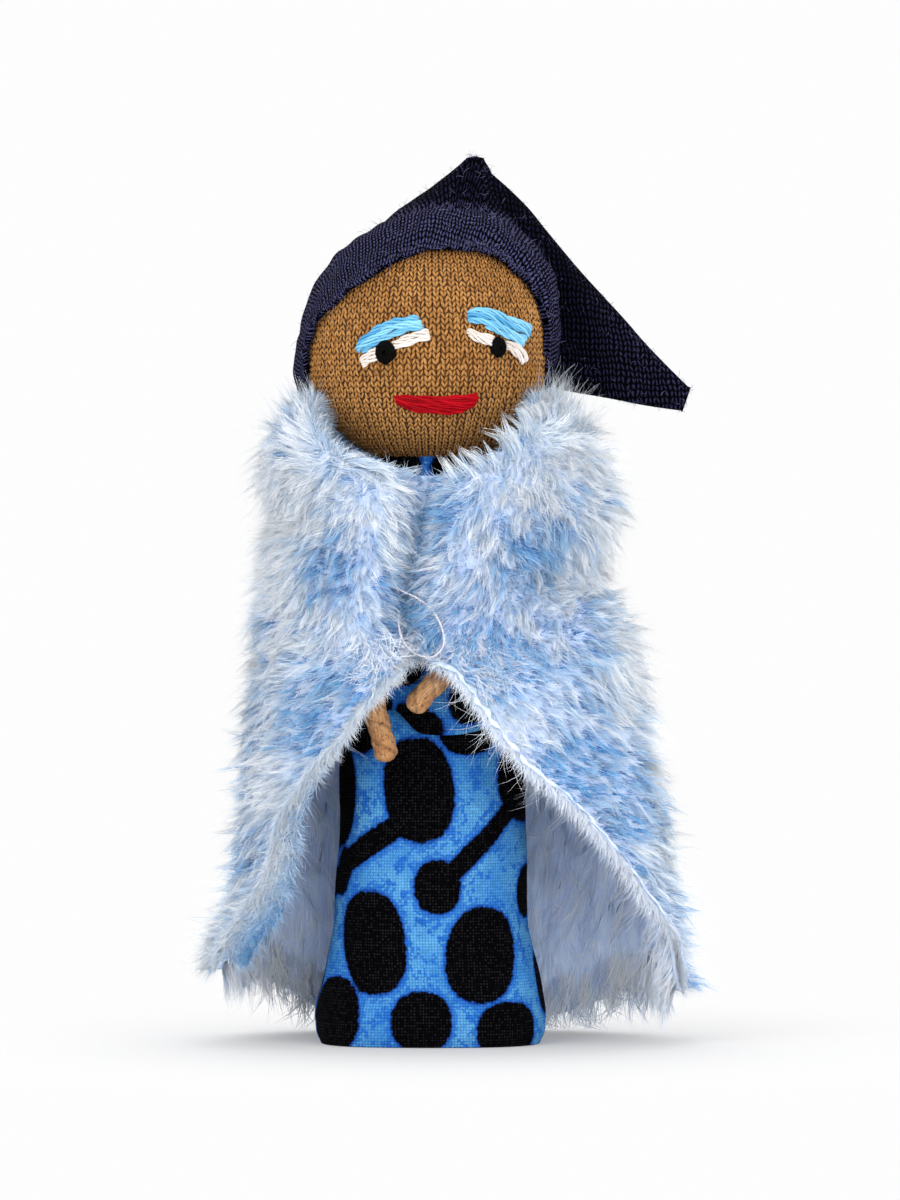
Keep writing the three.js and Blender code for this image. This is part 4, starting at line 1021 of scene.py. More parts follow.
# %% Pupils
def make_knot(name, node, middle, half_width, half_height, seed):
    """A path that winds round a flattened ball three and a half times while its height falls from the
    crown to the rim, as a spiral: cos and sin of the turn times the square root of the way round."""
    local = np.random.default_rng(seed)
    (x, z), = px_line(middle)
    latitude = math.asin(z / float(ball_half(z)))
    centre, normal = on_head(np.array(math.asin(x / (HEAD_R * math.cos(latitude)))), np.array(latitude), 0.35)
    right = unit(np.cross(np.array([0, 0, 1.0]), normal)) * -1
    up = np.cross(right, normal) * -1
    t = np.linspace(0, 1, 110)
    paths = []
    for start in (0.0, 0.33, 0.66):
        turn = TAU * (start + 2.6 * t) + local.normal(0, 0.1)
        out = np.sqrt(0.04 + 0.96 * t) * (1 + 0.05 * np.sin(5 * turn + start * 9))
        rise = 0.78 * np.sqrt(np.clip(1 - 0.92 * out ** 2, 0, 1))
        paths.append(centre + (half_width * PIXEL - 0.2) * (out * np.cos(turn))[:, None] * right
                     + (half_height * PIXEL - 0.2) * (out * np.sin(turn))[:, None] * up
                     + rise[:, None] * normal)
    paths = np.array(paths)
    points, quads, ends, tube, along = tubes(paths, 0.24, 7, 1.0, normal)
    turn = TAU * np.arange(28) / 28
    rings = []
    for level in np.linspace(0.0, 1.0, 9)[:-1]:
        out, rise = math.cos(level * math.pi / 2), math.sin(level * math.pi / 2)
        rings.append(centre + (half_width * PIXEL - 0.15) * out * np.cos(turn)[:, None] * right
                     + (half_height * PIXEL - 0.15) * out * np.sin(turn)[:, None] * up
                     + (0.8 * rise - 0.3) * normal)
    rings.append(np.repeat((centre + 0.52 * normal)[None], 28, axis=0))
    core, (core_faces, _, _) = np.array(rings), grid_faces(9, 28, joined=True)
    core_faces = outwards(core, core_faces, centre - normal) + len(points)
    shade = np.concatenate([np.array([0.2, 0.55, 0.8])[tube], np.full(core[..., 0].size, 0.05)])
    along = np.concatenate([along, np.zeros(core[..., 0].size)])
    points, faces = np.concatenate([points, core.reshape(-1, 3)]), [np.concatenate([quads, core_faces]), ends]
    made = piece(name, points, faces, black_floss, "head", strand_maps(faces, shade, along))
    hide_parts(node)


make_knot("left_pupil_knot", "left_pupil", (387, 352.2), 10.6, 11.8, 31)
make_knot("right_pupil_knot", "right_pupil", (496, 347.4), 8.8, 10.2, 32)

# %% Mouth
mouth_lines = []
for i, (left, middle, right, seed) in enumerate((
        ((394, 395), (437, 396.4), (478.5, 394), 41), ((393, 397.2), (437, 399.4), (479.5, 396.6), 42),
        ((393.5, 399.6), (437, 402.4), (479, 399.2), 43), ((396, 401.8), (437, 405.2), (477, 401.8), 44),
        ((402, 403.8), (438, 407.8), (472, 404.4), 45), ((409, 406), (438, 410), (466, 407), 46))):
    quarter = tuple(np.array(left) * 0.5 + np.array(middle) * 0.5 + [0, 1.0])
    three = tuple(np.array(right) * 0.5 + np.array(middle) * 0.5 + [0, 1.0])
    mouth_lines.append((px_line(left, quarter, middle, three, right), 0.62, 0.55, seed))
lay_floss("mouth_floss", mouth_lines, red_floss, "mouth", 0.17, 6.0, 3)

# %% [markdown]
# ## Hood
# The hood is cut from navy jersey: a soft band lies round the face, the cloth behind it rises to a
# pinched point, and a flat folded tail hangs down beside the head. The band and crown are one surface,
# found by shining rays out of the middle of the head and stopping each where it leaves the dome or
# the pinched crown, whichever is farther. The line where the two meet is the valley behind the band.

# %% Shape of the hood
CROWN = [   # height, middle across, middle back, half width, half depth, about the head's middle
    [4.0, 0.6, 2.6, 14.6, 13.0], [9.6, 0.7, 2.8, 14.2, 12.4], [14.5, 1.75, 2.9, 10.75, 9.2],
    [17.0, 2.7, 3.1, 8.6, 7.0], [18.9, 3.65, 3.0, 6.55, 5.1], [20.9, 4.5, 2.4, 4.5, 3.7],
    [23.5, 5.65, 1.5, 2.4, 2.0], [24.9, 6.0, 1.0, 1.1, 1.0]]
DOME = np.array([17.1, 17.6, 18.1])
DOME_LEAN = 0.13      # the dome leans to the right by this much per mm of height
PEAK = np.array([6.0, 1.0, 24.9])
peak_axis = unit(PEAK)
front_axis = unit(np.array([0, -1.0, 0]) + peak_axis[1] * peak_axis)
right_axis = np.cross(peak_axis, front_axis)
crown_columns = [column_of(CROWN, k, 0.5) for k in (1, 2, 3, 4)]


def hood_field(p):
    """Below zero inside the hood: the smaller of two fields. The dome's is its unit radius less 1,
    and the crown's the same for the ring at that height. Both are scaled to read near mm."""
    z = p[..., 2]
    leaned = np.stack([p[..., 0] - DOME_LEAN * z + 0.1, p[..., 1], z - 0.7], -1)
    dome = (np.linalg.norm(leaned / DOME, axis=-1) - 1) * 17.3
    x0, y0, half_width, half_depth = (f(z) for f in crown_columns)
    ring = np.sqrt(((p[..., 0] - x0) / half_width) ** 2 + ((p[..., 1] - y0) / half_depth) ** 2) - 1
    crown = ring * np.minimum(half_width, half_depth) + 4 * np.maximum(z - 25.0, 0)
    crown = crown + 4 * np.maximum(4.0 - z, 0)
    return np.minimum(dome, crown), dome - crown


def hood_reach(direction):
    """Distance from the head's middle to the hood along each direction, by halving the interval."""
    low, high = np.full(direction.shape[:-1], 4.0), np.full(direction.shape[:-1], 28.0)
    for _ in range(26):
        middle = (low + high) / 2
        inside = hood_field(direction * middle[..., None])[0] < 0
        low, high = np.where(inside, middle, low), np.where(inside, high, middle)
    return (low + high) / 2


def polar_of(points):
    """Angle round the peak's axis, 0 at the front and positive to the right, and angle away from it."""
    d = unit(points)
    return np.arctan2(d @ right_axis, d @ front_axis), np.arccos(np.clip(d @ peak_axis, -1, 1))


def hood_edge():
    """The hood's edge as an angle from the peak's axis for each angle round it: the opening's
    outline carried back onto the dome, then the hem that falls towards the nape."""
    outline = smooth_path(FACE_OPENING, 200)
    depth = 1 - (outline[:, 0] / DOME[0]) ** 2 - ((outline[:, 1] - 0.7) / DOME[2]) ** 2
    front = np.stack([outline[:, 0], -(DOME[1] - 1.2) * np.sqrt(np.maximum(depth, 0.0)), outline[:, 1]], 1)
    turn = np.linspace(0.50 * math.pi, 1.50 * math.pi, 160)[3:-3]
    hem_y = -DOME[1] * 0.93 * np.cos(turn)
    hem_z = -6.4 - 0.2 * hem_y
    shrink = np.sqrt(1 - ((hem_z - 0.7) / DOME[2]) ** 2)
    back = np.stack([DOME[0] * shrink * np.sin(turn), -DOME[1] * shrink * np.cos(turn), hem_z], 1)
    around, away = polar_of(np.concatenate([front, back]))
    order = np.argsort(around)
    around, away = around[order], away[order]
    ragged = 0.012 * np.sin(around * 47) * np.sin(around * 13 + 1) + 0.006 * np.sin(around * 131)
    return (np.concatenate([around - TAU, around, around + TAU]), np.tile(away + ragged, 3))


edge_around, edge_away = hood_edge()
print("hood edge from", round(float(edge_away.min()), 2), "to", round(float(edge_away.max()), 2), "rad")

# %% [markdown]
# Jersey cut without a hem curls at its edge and sheds pale lint. The hood's material keeps the navy
# nearly black in the gaps between stitches, which is painted shade, and lifts it to a dusty violet on
# their crests. That lift is painted light: strong on the band round the face, and weak on the crown and
# on the tail near the head, which lie in shade. The lint's pale flecks show only where the lift is.


# %% Finish of the hood
def make_navy_jersey():
    material, tree, shader = new_finish("navy jersey", 0.95, 0.0, 0.03)
    place = on_cloth(tree)
    noise = add_node(tree, "ShaderNodeTexNoise", {"Vector": place, "Scale": 0.35, "Detail": 1.0})
    sway = vectors(tree, "SUBTRACT", noise.outputs["Color"], (0.5, 0.5, 0.5))
    moved = vectors(tree, "ADD", place, sway)
    knit = use_group(tree, knit_group, Place=moved, Width=1.08, Row=0.82)
    fleck = use_group(tree, fleck_group, Place=millimetres(tree), Fine=7.0, Broad=0.22)
    crest = sums(tree, "MULTIPLY", band(tree, knit["Height"], 0.22, 0.85), sums(
        tree, "ADD", sums(tree, "MULTIPLY", knit["Fleck"], 0.35), 0.65))
    # Painted shade and light: gaps nearly black, crests lifted to violet by the point value, which is high on
    # the band round the face and low on the crown and on the tail near the head.
    lit_and_dust_share = point_value(tree, "lit_and_dust")
    colour = blend(tree, crest, rgb(0, 0, 3), blend(tree, lit_and_dust_share, rgb(16, 16, 40), rgb(82, 81, 124)))
    # Pale dust flecks, scaled by the same painted light.
    lit_and_dust = sums(tree, "MULTIPLY", band(tree, fleck["Fine fleck"], 0.6, 0.75), lit_and_dust_share)
    lit_and_dust = sums(tree, "MULTIPLY", lit_and_dust, 0.35)
    colour = blend(tree, lit_and_dust, colour, rgb(96, 94, 138))
    tree.links.new(colour, shader.inputs["Base Color"])
    bumped(tree, shader, knit["Height"], 0.0005, 1.0)
    return material


navy_jersey = make_navy_jersey()


# %% Band and crown
def hood_point(around, share):
    """Point of the hood for an angle round the peak and a share of the way from the edge (0) to the
    peak (1), with the curled edge, the soft valley and a few folds that run up to the peak."""
    away = np.interp(around, edge_around, edge_away) * (1 - share)
    direction = (np.cos(away)[..., None] * peak_axis + np.sin(away)[..., None] * (
        np.cos(around)[..., None] * front_axis + np.sin(around)[..., None] * right_axis))
    reach = hood_reach(direction)
    lead = hood_field(direction * reach[..., None])[1]
    from_edge = np.interp(around, edge_around, edge_away) * share * 17.0
    ball = 1 / np.sqrt((direction[..., 0] ** 2 + direction[..., 1] ** 2) / HEAD_R ** 2
                       + direction[..., 2] ** 2 / ball_half(direction[..., 2]) ** 2)
    snug = np.exp(-(from_edge / 2.1) ** 2)
    low_left = ease(-direction[..., 0], 0.4, 0.75) * ease(-direction[..., 2], 0.2, 0.55)
    reach = reach + (np.minimum(ball + 1.25, reach) - reach) * np.maximum(snug, low_left)
    groove = 0.7 * np.exp(-(lead / 0.8) ** 2) * ease(direction[..., 2], 0.45, 0.7)
    reach = reach - groove * ease(-direction[..., 1], 0.0, 0.3)
    reach = reach + 0.28 * np.exp(-((from_edge - 0.4) / 0.5) ** 2)
    p = direction * reach[..., None]
    on_crown = ease(lead, 0.3, 2.5)
    folds = 0.26 * np.sin(around * 6 + 1.5 * np.sin(around * 2)) * on_crown * ease(reach, 15, 19)
    level = 0.35 * np.sin((p[..., 2] - 0.25 * p[..., 0]) * 1.5) * on_crown * ease(-p[..., 1], -2, 4)
    soft = 0.28 * waves_at(p, 8.0, 51) + 0.12 * waves_at(p, 3.6, 52)
    reach = reach + (folds + level * 0.6) * ease(1 - share, 0.04, 0.3) + soft * ease(1 - share, 0.02, 0.2)
    return HEAD + direction * reach[..., None]


def make_hood_cap():
    rows, columns = 110, 200
    share = (np.linspace(0, 1, rows) ** 0.9)[:, None]
    share[-1] = 0.9965
    around = (TAU * np.arange(columns) / columns - math.pi)[None] + 0 * share
    grid = hood_point(around, share + 0 * around)
    points = np.concatenate([grid.reshape(-1, 3), [HEAD + PEAK * 1.003]])
    away = np.interp(around, edge_around, edge_away) * (1 - share)
    steps = np.linalg.norm(np.diff(grid[::-1], axis=0), axis=2)
    run = np.concatenate([np.zeros((1, columns)), np.cumsum(steps, axis=0)])[::-1]
    cloth = (0.55 * 17.0 * away + 0.45 * run)[..., None] * np.stack([np.sin(around), np.cos(around)], -1)
    cloth = np.concatenate([cloth, cloth[:, :1]], axis=1)
    quads, pairs = mapped(points, *grid_faces(rows, columns, joined=True), cloth, HEAD)
    cap = outwards(points, fan((rows - 1) * columns, columns, len(points) - 1), HEAD)
    maps = np.concatenate([pairs, np.zeros((3 * len(cap), 2))])
    lead = hood_field(grid - HEAD)[1]
    # Painted light on the band round the face, and painted shade on the crown behind it.
    lit_and_dust = np.append((1 - 0.92 * ease(lead, -0.6, 1.2)).ravel(), 0.08)
    made = piece("hood_cap", points, [quads, cap], navy_jersey, "head",
                 {"cloth": maps}, {"lit_and_dust": lit_and_dust})
    wall = made.modifiers.new("cloth", "SOLIDIFY")
    wall.thickness, wall.offset = 0.8 * MM, -1.0
    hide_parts("hood")
    return made


hood_cap = make_hood_cap()

# %% [markdown]
# The tail is the rest of the same cloth, folded double. It leaves the crown behind the band, tapers to
# a cut end and hangs a little towards the front. It is a loft of flattened rings, rounded along the
# folded upper edge, with a sag between its ends and shallow folds across it.

# %% Tail
TAIL = [   # upper edge across and up, lower edge across and up, middle back, half thickness
    [6.4, 24.5, 3.0, 13.0, 1.4, 1.0], [12.4, 19.4, 7.0, 4.0, 3.0, 3.0], [15.7, 15.6, 12.0, -3.4, 4.4, 3.6],
    [19.6, 11.0, 15.6, -4.7, 5.2, 3.0], [25.7, 4.3, 23.7, -6.2, 5.8, 2.0], [28.6, 0.9, 27.7, -7.0, 5.8, 1.5],
    [34.2, -4.9, 33.2, -7.8, 5.6, 1.0]]


def make_tail():
    """Ring at share s along: a point between the lower and upper edge by half of 1 + cos t, moved
    front and back by the half thickness times sin t to a power under 1, which squares the fold."""
    rows, sides = 110, 84
    stations = smooth_path(TAIL, rows)
    t = TAU * np.arange(sides) / sides
    share = 0.5 + 0.5 * np.cos(t)
    upper, lower = stations[:, None, 0:2], stations[:, None, 2:4]
    spot = lower + share[None, :, None] * (upper - lower)
    s = np.linspace(0, 1, rows)[:, None]
    thick = stations[:, None, 5] * np.sign(np.sin(t)) * np.abs(np.sin(t)) ** 0.75
    hang = -0.9 * np.sin(math.pi * s) * share * 0.3
    grid = HEAD + np.stack([spot[..., 0], stations[:, None, 4] + thick, spot[..., 1] + hang], -1)
    front = np.sign(np.sin(t)) * np.abs(np.sin(t)) ** 0.5
    ripple = (0.30 * np.sin(spot[..., 0] * 0.9 + spot[..., 1] * 0.35) + 0.25 * waves_at(grid, 6.5, 61)
              + 0.12 * waves_at(grid, 3.0, 62)) * (1 - 0.5 * s)
    grid = grid + np.stack([0 * ripple, ripple * front, 0 * ripple], -1)
    inner = grid[-1] + (grid[-1].mean(0) - grid[-1]) * np.array([0.0, 0.55, 0.25]) + [-0.1, 0, 0]
    deep = inner + np.array([-2.5, 0, 0.3])
    last = deep.mean(0) + (deep - deep.mean(0)) * 0.02
    rim = grid[-1] + unit(grid[-1] - grid[-1].mean(0)) * 0.18
    grid = np.concatenate([grid[:-1], rim[None], inner[None], deep[None], last[None]])
    points = np.concatenate([grid.reshape(-1, 3), [grid[0].mean(0)], [last.mean(0)]])
    wide = np.concatenate([grid, grid[:, :1]], axis=1) - HEAD
    cloth = np.stack([wide[..., 0] + 0.10 * wide[..., 2], wide[..., 2] + 0.3 * wide[..., 1]], -1)
    faces, row, column = grid_faces(len(grid), sides, joined=True)
    quads, pairs = mapped(points, faces, row, column, cloth, grid[44].mean(0))
    ends = np.concatenate([
        fan(0, sides, len(points) - 2)[:, ::-1], fan((len(grid) - 1) * sides, sides, len(points) - 1)])
    ends = ends[:, ::-1] if quads[0, 0] != faces[0, 0] else ends
    maps = np.concatenate([pairs, np.zeros((3 * len(ends), 2))])
    # Painted shade on the tail near the head, lighter towards its far end.
    lit_and_dust = 0.02 + 0.25 * ease(points[:, 0] - HEAD[0], 17, 28)
    return piece("hood_tail", points, [quads, ends], navy_jersey, "head",
                 {"cloth": maps}, {"lit_and_dust": lit_and_dust})


hood_tail = make_tail()

# %% [markdown]
# ## Cape
# The cape is one cut of long-pile fake fur, tied at the chest. The cloth is a surface in two
# parameters: u runs from the left front edge round the back to the right front edge, and v from collar
# to hem. Its rings are superellipses too. The fur itself comes in later cells.

# %% Shape of the cape
cape_left, cape_right, cape_front, cape_back = (column_of(CAPE, k, 2.0) for k in (1, 2, 3, 4))
cape_edge_left, cape_edge_right = column_of(CAPE_EDGES, 1, 0.8), column_of(CAPE_EDGES, 2, 0.8)
CAPE_POWER = 2 / 2.35
CAPE_FULLER = 0.8     # front and back, so that the pile fills the solid's depth
# Creases under the shoulders, each with its height, reach, side and depth.
DENTS = ((60.5, 4.8, 1, 3.4), (67.5, 3.0, -1, 1.5), (22.0, 8.0, -1, 2.0))


def powered(value, power):
    """The value's size raised to a power, with its sign kept."""
    return np.sign(value) * np.abs(value) ** power


def cape_point(z, angle, inset):
    """Point of the cape at a height and an angle from the back, positive to the right: a
    superellipse with seven hanging folds, drawn in by a valley where the front edges meet. There the
    left edge goes under the right one."""
    side = np.where(np.sin(angle) < 0, cape_left(z), cape_right(z))
    deep = np.where(np.cos(angle) < 0, cape_front(z), cape_back(z))
    fold = 0.7 * ease(70 - z, 0, 60) * np.cos(7 * angle)
    for height, reach, hand, depth in DENTS:
        fold = fold - depth * np.exp(-((z - height) / reach) ** 2) * ease(hand * np.sin(angle), 0.3, 0.95)
    closure = (cape_edge_left(z) + cape_edge_right(z)) / 2
    x = (side + fold - inset) * powered(np.sin(angle), CAPE_POWER)
    y = (deep + CAPE_FULLER + fold - inset) * powered(np.cos(angle), CAPE_POWER)
    valley = 4.8 * np.exp(-((x - closure) / 3.4) ** 2) * ease(-np.cos(angle) * 2 - 0.6, 0, 1)
    valley = valley * ease(z, 46, 54)
    under = 1.4 * np.exp(-((x - closure) / 3.2) ** 2) * (x < closure) * (np.cos(angle) < 0) * ease(z, 50, 56)
    return np.stack([x, y + valley + under, z + 0 * x], -1)


def edge_angle(z, hand):
    """Angle of a front edge at a height: the one whose superellipse lies at the edge's place across."""
    edge = np.where(hand < 0, cape_edge_left(z), cape_edge_right(z)) + hand * (0.4 - 0.38 * ease(z, 49, 52))
    reach = np.where(hand < 0, cape_left(z), cape_right(z))
    share = np.clip(hand * edge / reach, -0.6, 0.985)
    return hand * (math.pi - np.arcsin(powered(share, 1 / CAPE_POWER)))


def cape_surface(u, v, inset):
    """Point of the cape for u from -1 to 1 round it and v from 0 at the collar to 1 at the hem."""
    hand = np.where(u < 0, -1.0, 1.0)
    hem = 0.7 + (np.where(u < 0, 9.6, 6.8) - 0.7) * ease(np.abs(u), 0.10, 0.64)
    hem = hem + 1.3 * ease(np.abs(u), 0.90, 1.0)
    top_angle = np.abs(u) * np.abs(edge_angle(np.full_like(u, 75.0), hand))
    top = 83.0 + ease(top_angle + 0.25 * (u < 0), 2.1, 3.0) * (75.0 - 83.0) - 1.6 * ease(np.abs(u), 0.88, 1.0)
    z = top + (hem - top) * (0.35 * v ** 2 + 0.65 * v)
    return cape_point(z, np.abs(u) * edge_angle(z, hand), inset)


def cape_frame(u, v, inset):
    """Point, outward normal, and unit vectors across and down the cape, from small differences."""
    h = 1e-3
    across = unit(cape_surface(u + h, v, inset) - cape_surface(u - h, v, inset))
    down = unit(cape_surface(u, v + h, inset) - cape_surface(u, v - h, inset))
    normal = unit(np.cross(across, down))
    point = cape_surface(u, v, inset)
    outside = (normal * (point * [1, 1, 0])).sum(-1, keepdims=True)
    return point, np.where(outside < 0, -normal, normal), across, down


# %% Cloth of the cape
def make_cape_backing():
    material, tree, shader = new_finish("cape backing", 0.9, 0.2, 0.15)
    place = on_cloth(tree)
    knit = use_group(tree, knit_group, Place=place, Width=0.7, Row=0.6)
    streak = vectors(tree, "MULTIPLY", place, (1.0, 0.16, 1.0))
    fleck = use_group(tree, fleck_group, Place=streak, Fine=2.2, Broad=0.3)
    cloud = band(tree, fleck["Broad cloud"], 0.3, 0.7)
    colour = blend(tree, cloud, rgb(192, 214, 251, 1.0), rgb(208, 228, 253, 1.0))
    colour = speckle(tree, colour, fleck["Fine fleck"], 0.45, 0.7, 0.7, rgb(236, 240, 248, 1.0))
    # Painted highlight: lighter on the knit's crests.
    colour = blend(tree, sums(tree, "MULTIPLY", knit["Height"], 0.25), colour, rgb(240, 243, 250, 1.0))
    tree.links.new(colour, shader.inputs["Base Color"])
    let_through(tree, shader, colour, 0.3)
    bumped(tree, shader, fleck["Fine fleck"], 0.0004, 0.6)
    return material


ROOT_DEPTH = 1.5      # how far inside the solid's skin the cloth lies, under the pile
CLOTH_THICK = 0.9


def make_cape_cloth():
    """Outer and inner face of the cloth as two grids, joined by a strip round the rim."""
    rows, columns = 80, 150
    v, u = np.meshgrid(np.linspace(0, 1, rows), np.linspace(-1, 1, columns), indexing="ij")
    outer, inner = cape_surface(u, v, ROOT_DEPTH), cape_surface(u, v, ROOT_DEPTH + CLOTH_THICK)
    faces = grid_faces(rows, columns)[0]
    points = np.concatenate([outer.reshape(-1, 3), inner.reshape(-1, 3)])
    far = rows * columns
    rim = np.concatenate([
        np.arange(columns), np.arange(1, rows) * columns + columns - 1,
        (rows - 1) * columns + np.arange(columns - 2, -1, -1), np.arange(rows - 2, 0, -1) * columns])
    nxt = np.roll(rim, -1)
    outer_faces = outwards(points, faces, (0, 0, 45))
    flipped = outer_faces[0, 0] != faces[0, 0]
    inner_faces = (faces if flipped else faces[:, ::-1]) + far
    strip = np.stack([rim, nxt, nxt + far, rim + far], 1)
    if not flipped:
        strip = strip[:, ::-1]
    run_u = np.broadcast_to(run_along(outer[rows // 2]), (rows, columns))
    cloth = np.stack([run_u, 80 * v], -1).reshape(-1, 2)
    cloth = np.concatenate([cloth, cloth])
    all_faces = np.concatenate([outer_faces, inner_faces, strip])
    made = piece("cape_cloth", points, [all_faces], make_cape_backing(), "doll_body",
                 {"cloth": cloth[all_faces.ravel()]})
    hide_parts("fur_cape")
    quad = outer[:-1, :-1], outer[:-1, 1:], outer[1:, 1:], outer[1:, :-1]
    area = 0.5 * np.linalg.norm(np.cross(quad[2] - quad[0], quad[3] - quad[1]), axis=-1).sum()
    lengths = [run_along(outer[r])[-1] for r in (0, rows // 2, rows - 1)]
    print("cape cloth area", round(area), "mm2, girths", [round(g) for g in lengths])
    return made, area


cape_cloth, cape_area = make_cape_cloth()

# %% [markdown]
# ## Fur
# Fake fur grows in tufts. Each tuft has a root on the cloth, a length and a direction of its own, and
# its hairs start spread out and close up towards the tip, which makes the small pointed locks that
# catch the light. A hair is a curve that rises from the cloth and bends over to the tuft's tip. The
# direction wanders smoothly over the cape and hangs down with weight.

# %% Tools for fur
def scatter(spacing, seed, u_range=(-1.0, 1.0), v_range=(0.0, 1.0)):
    """Even but unruly places on the cape: rows down it, each with as many places as its girth in
    spacings, and every place moved at random within its own cell."""
    local = np.random.default_rng(seed)
    rows = max(2, int(round(82 * (v_range[1] - v_range[0]) / spacing)))
    found = []
    for r in range(rows):
        v = v_range[0] + (v_range[1] - v_range[0]) * (r + 0.5) / rows
        line = cape_surface(np.linspace(*u_range, 80), np.full(80, v), ROOT_DEPTH)
        run = run_along(line)
        count = max(2, int(round(run[-1] / spacing)))
        at = (np.arange(count) + local.uniform(0, 1, count)) / count * run[-1]
        u = np.interp(at, run, np.linspace(*u_range, 80))
        found.append(np.stack([u, v + local.uniform(-0.5, 0.5, count) * (v_range[1] - v_range[0]) / rows], 1))
    found = np.concatenate(found)
    return np.clip(found[:, 0], -1, 1), np.clip(found[:, 1], 0, 1)


def tuft_flow(point, normal, across, down, u, v):
    """Direction in the cloth that the pile lies in: down, swung by slow waves. Over the chest it
    swings in towards the front edges, below them away from them, and along the collar it stands up
    everywhere but at the throat."""
    hand, near_edge, chest = np.sign(u), ease(np.abs(u), 0.78, 1.0), 1 - ease(v, 0.36, 0.46)
    swing = 0.62 * waves_at(point, 17.0, 71) + 0.5 * waves_at(point, 6.5, 72)
    swing = swing * (1 - 0.5 * near_edge) + hand * near_edge * (1.1 * chest - 0.5 * (1 - chest))
    rise = (1 - ease(v, 0.02, 0.15)) * (1 - ease(np.abs(u), 0.70, 0.84))
    weight = np.cos(swing) * (1 - 1.6 * rise)
    flow = weight[:, None] * down + np.sin(swing)[:, None] * across
    flow = flow + (0.2 * ease(v, 0.1, 0.3))[:, None] * np.array([0, 0, -1.0])
    return unit(flow - (flow * normal).sum(-1, keepdims=True) * normal)


def seam(u, v):
    """1 on the line over the chest where the two front edges meet, and 0 from 3 mm beside it on the
    left and from 1.5 mm on the right."""
    return np.where(u < 0, ease(-u, 0.93, 0.985), ease(u, 0.968, 0.995)) * (1 - ease(v, 0.40, 0.47))


def pile_length(u, v):
    """Share of the full length: short at the throat, along the raw edge at the right and in the seam."""
    throat = (1 - ease(v, 0.0, 0.12)) * ease(np.abs(u), 0.70, 0.86)
    raw = ease(u, 0.955, 1.0) * ease(v, 0.38, 0.46)
    apex = ease(-u, 0.9, 1.0) * ease(v, 0.36, 0.42) * (1 - ease(v, 0.62, 0.74))
    share = (1 - 0.55 * throat) * (1 - 0.5 * raw) * (1 - 0.5 * seam(u, v)) * (1 - 0.35 * apex)
    return np.maximum(share, 0.42)


# The whiter patches over the shoulders and at the sides are painted light.
PATCHES = np.array([   # across, height, radius and amount of the front's whiter and bluer patches
    [-9.5, 59.0, 5.0, -0.35], [-11.0, 44.0, 4.5, -0.4], [8.0, 50.0, 6.5, -0.5], [20.0, 33.0, 7.0, -0.4],
    [-24.5, 27.0, 4.0, -0.35], [13.0, 62.0, 4.5, -0.35], [5.5, 66.0, 3.0, 0.25], [-6.0, 69.0, 4.0, 0.35],
    [-17.0, 70.0, 8.0, 0.6], [16.0, 76.0, 7.0, 0.5], [26.0, 50.0, 6.0, 0.3], [-24.0, 50.0, 6.0, 0.3]])


def patch_shade(point):
    """Sum over the patches of amount times exp(-(distance / radius)^2), on the front only."""
    gap = np.hypot(point[:, 0, None] - PATCHES[:, 0], point[:, 2, None] - PATCHES[:, 1]) / PATCHES[:, 2]
    return (PATCHES[:, 3] * np.exp(-gap ** 2)).sum(1) * (point[:, 1] < 0)


def off_floor(paths):
    """Hairs that would reach under the floor lie on it: a smooth maximum of height and 0.3 mm."""
    paths[..., 2] = 0.3 + 0.25 * np.logaddexp(0, (paths[..., 2] - 0.3) / 0.25)
    return paths


def bent(root, handle, tip, steps=3):
    """Hairs as curves with three handles, read at even shares t as
    (1-t)^2 root + 2 t (1-t) handle + t^2 tip."""
    t = np.linspace(0, 1, steps)[None, :, None]
    return (1 - t) ** 2 * root[:, None] + 2 * t * (1 - t) * handle[:, None] + t ** 2 * tip[:, None]


def hair_radius(local, thick, count, steps=3):
    """Radii that taper as the root of what is left, each hair with a thickness of its own."""
    return thick * local.uniform(0.6, 1.4, (count, 1)) * np.linspace(1, 0, steps) ** 0.5


def short_hairs(local, root, aim, length, lift):
    """Paths and radii of edge hairs: from the root first along lift, then over towards aim."""
    handle = root + length * 0.45 * unit(lift) + local.normal(0, 0.12, root.shape)
    return bent(root, handle, root + length * aim), hair_radius(local, 0.045, len(root))


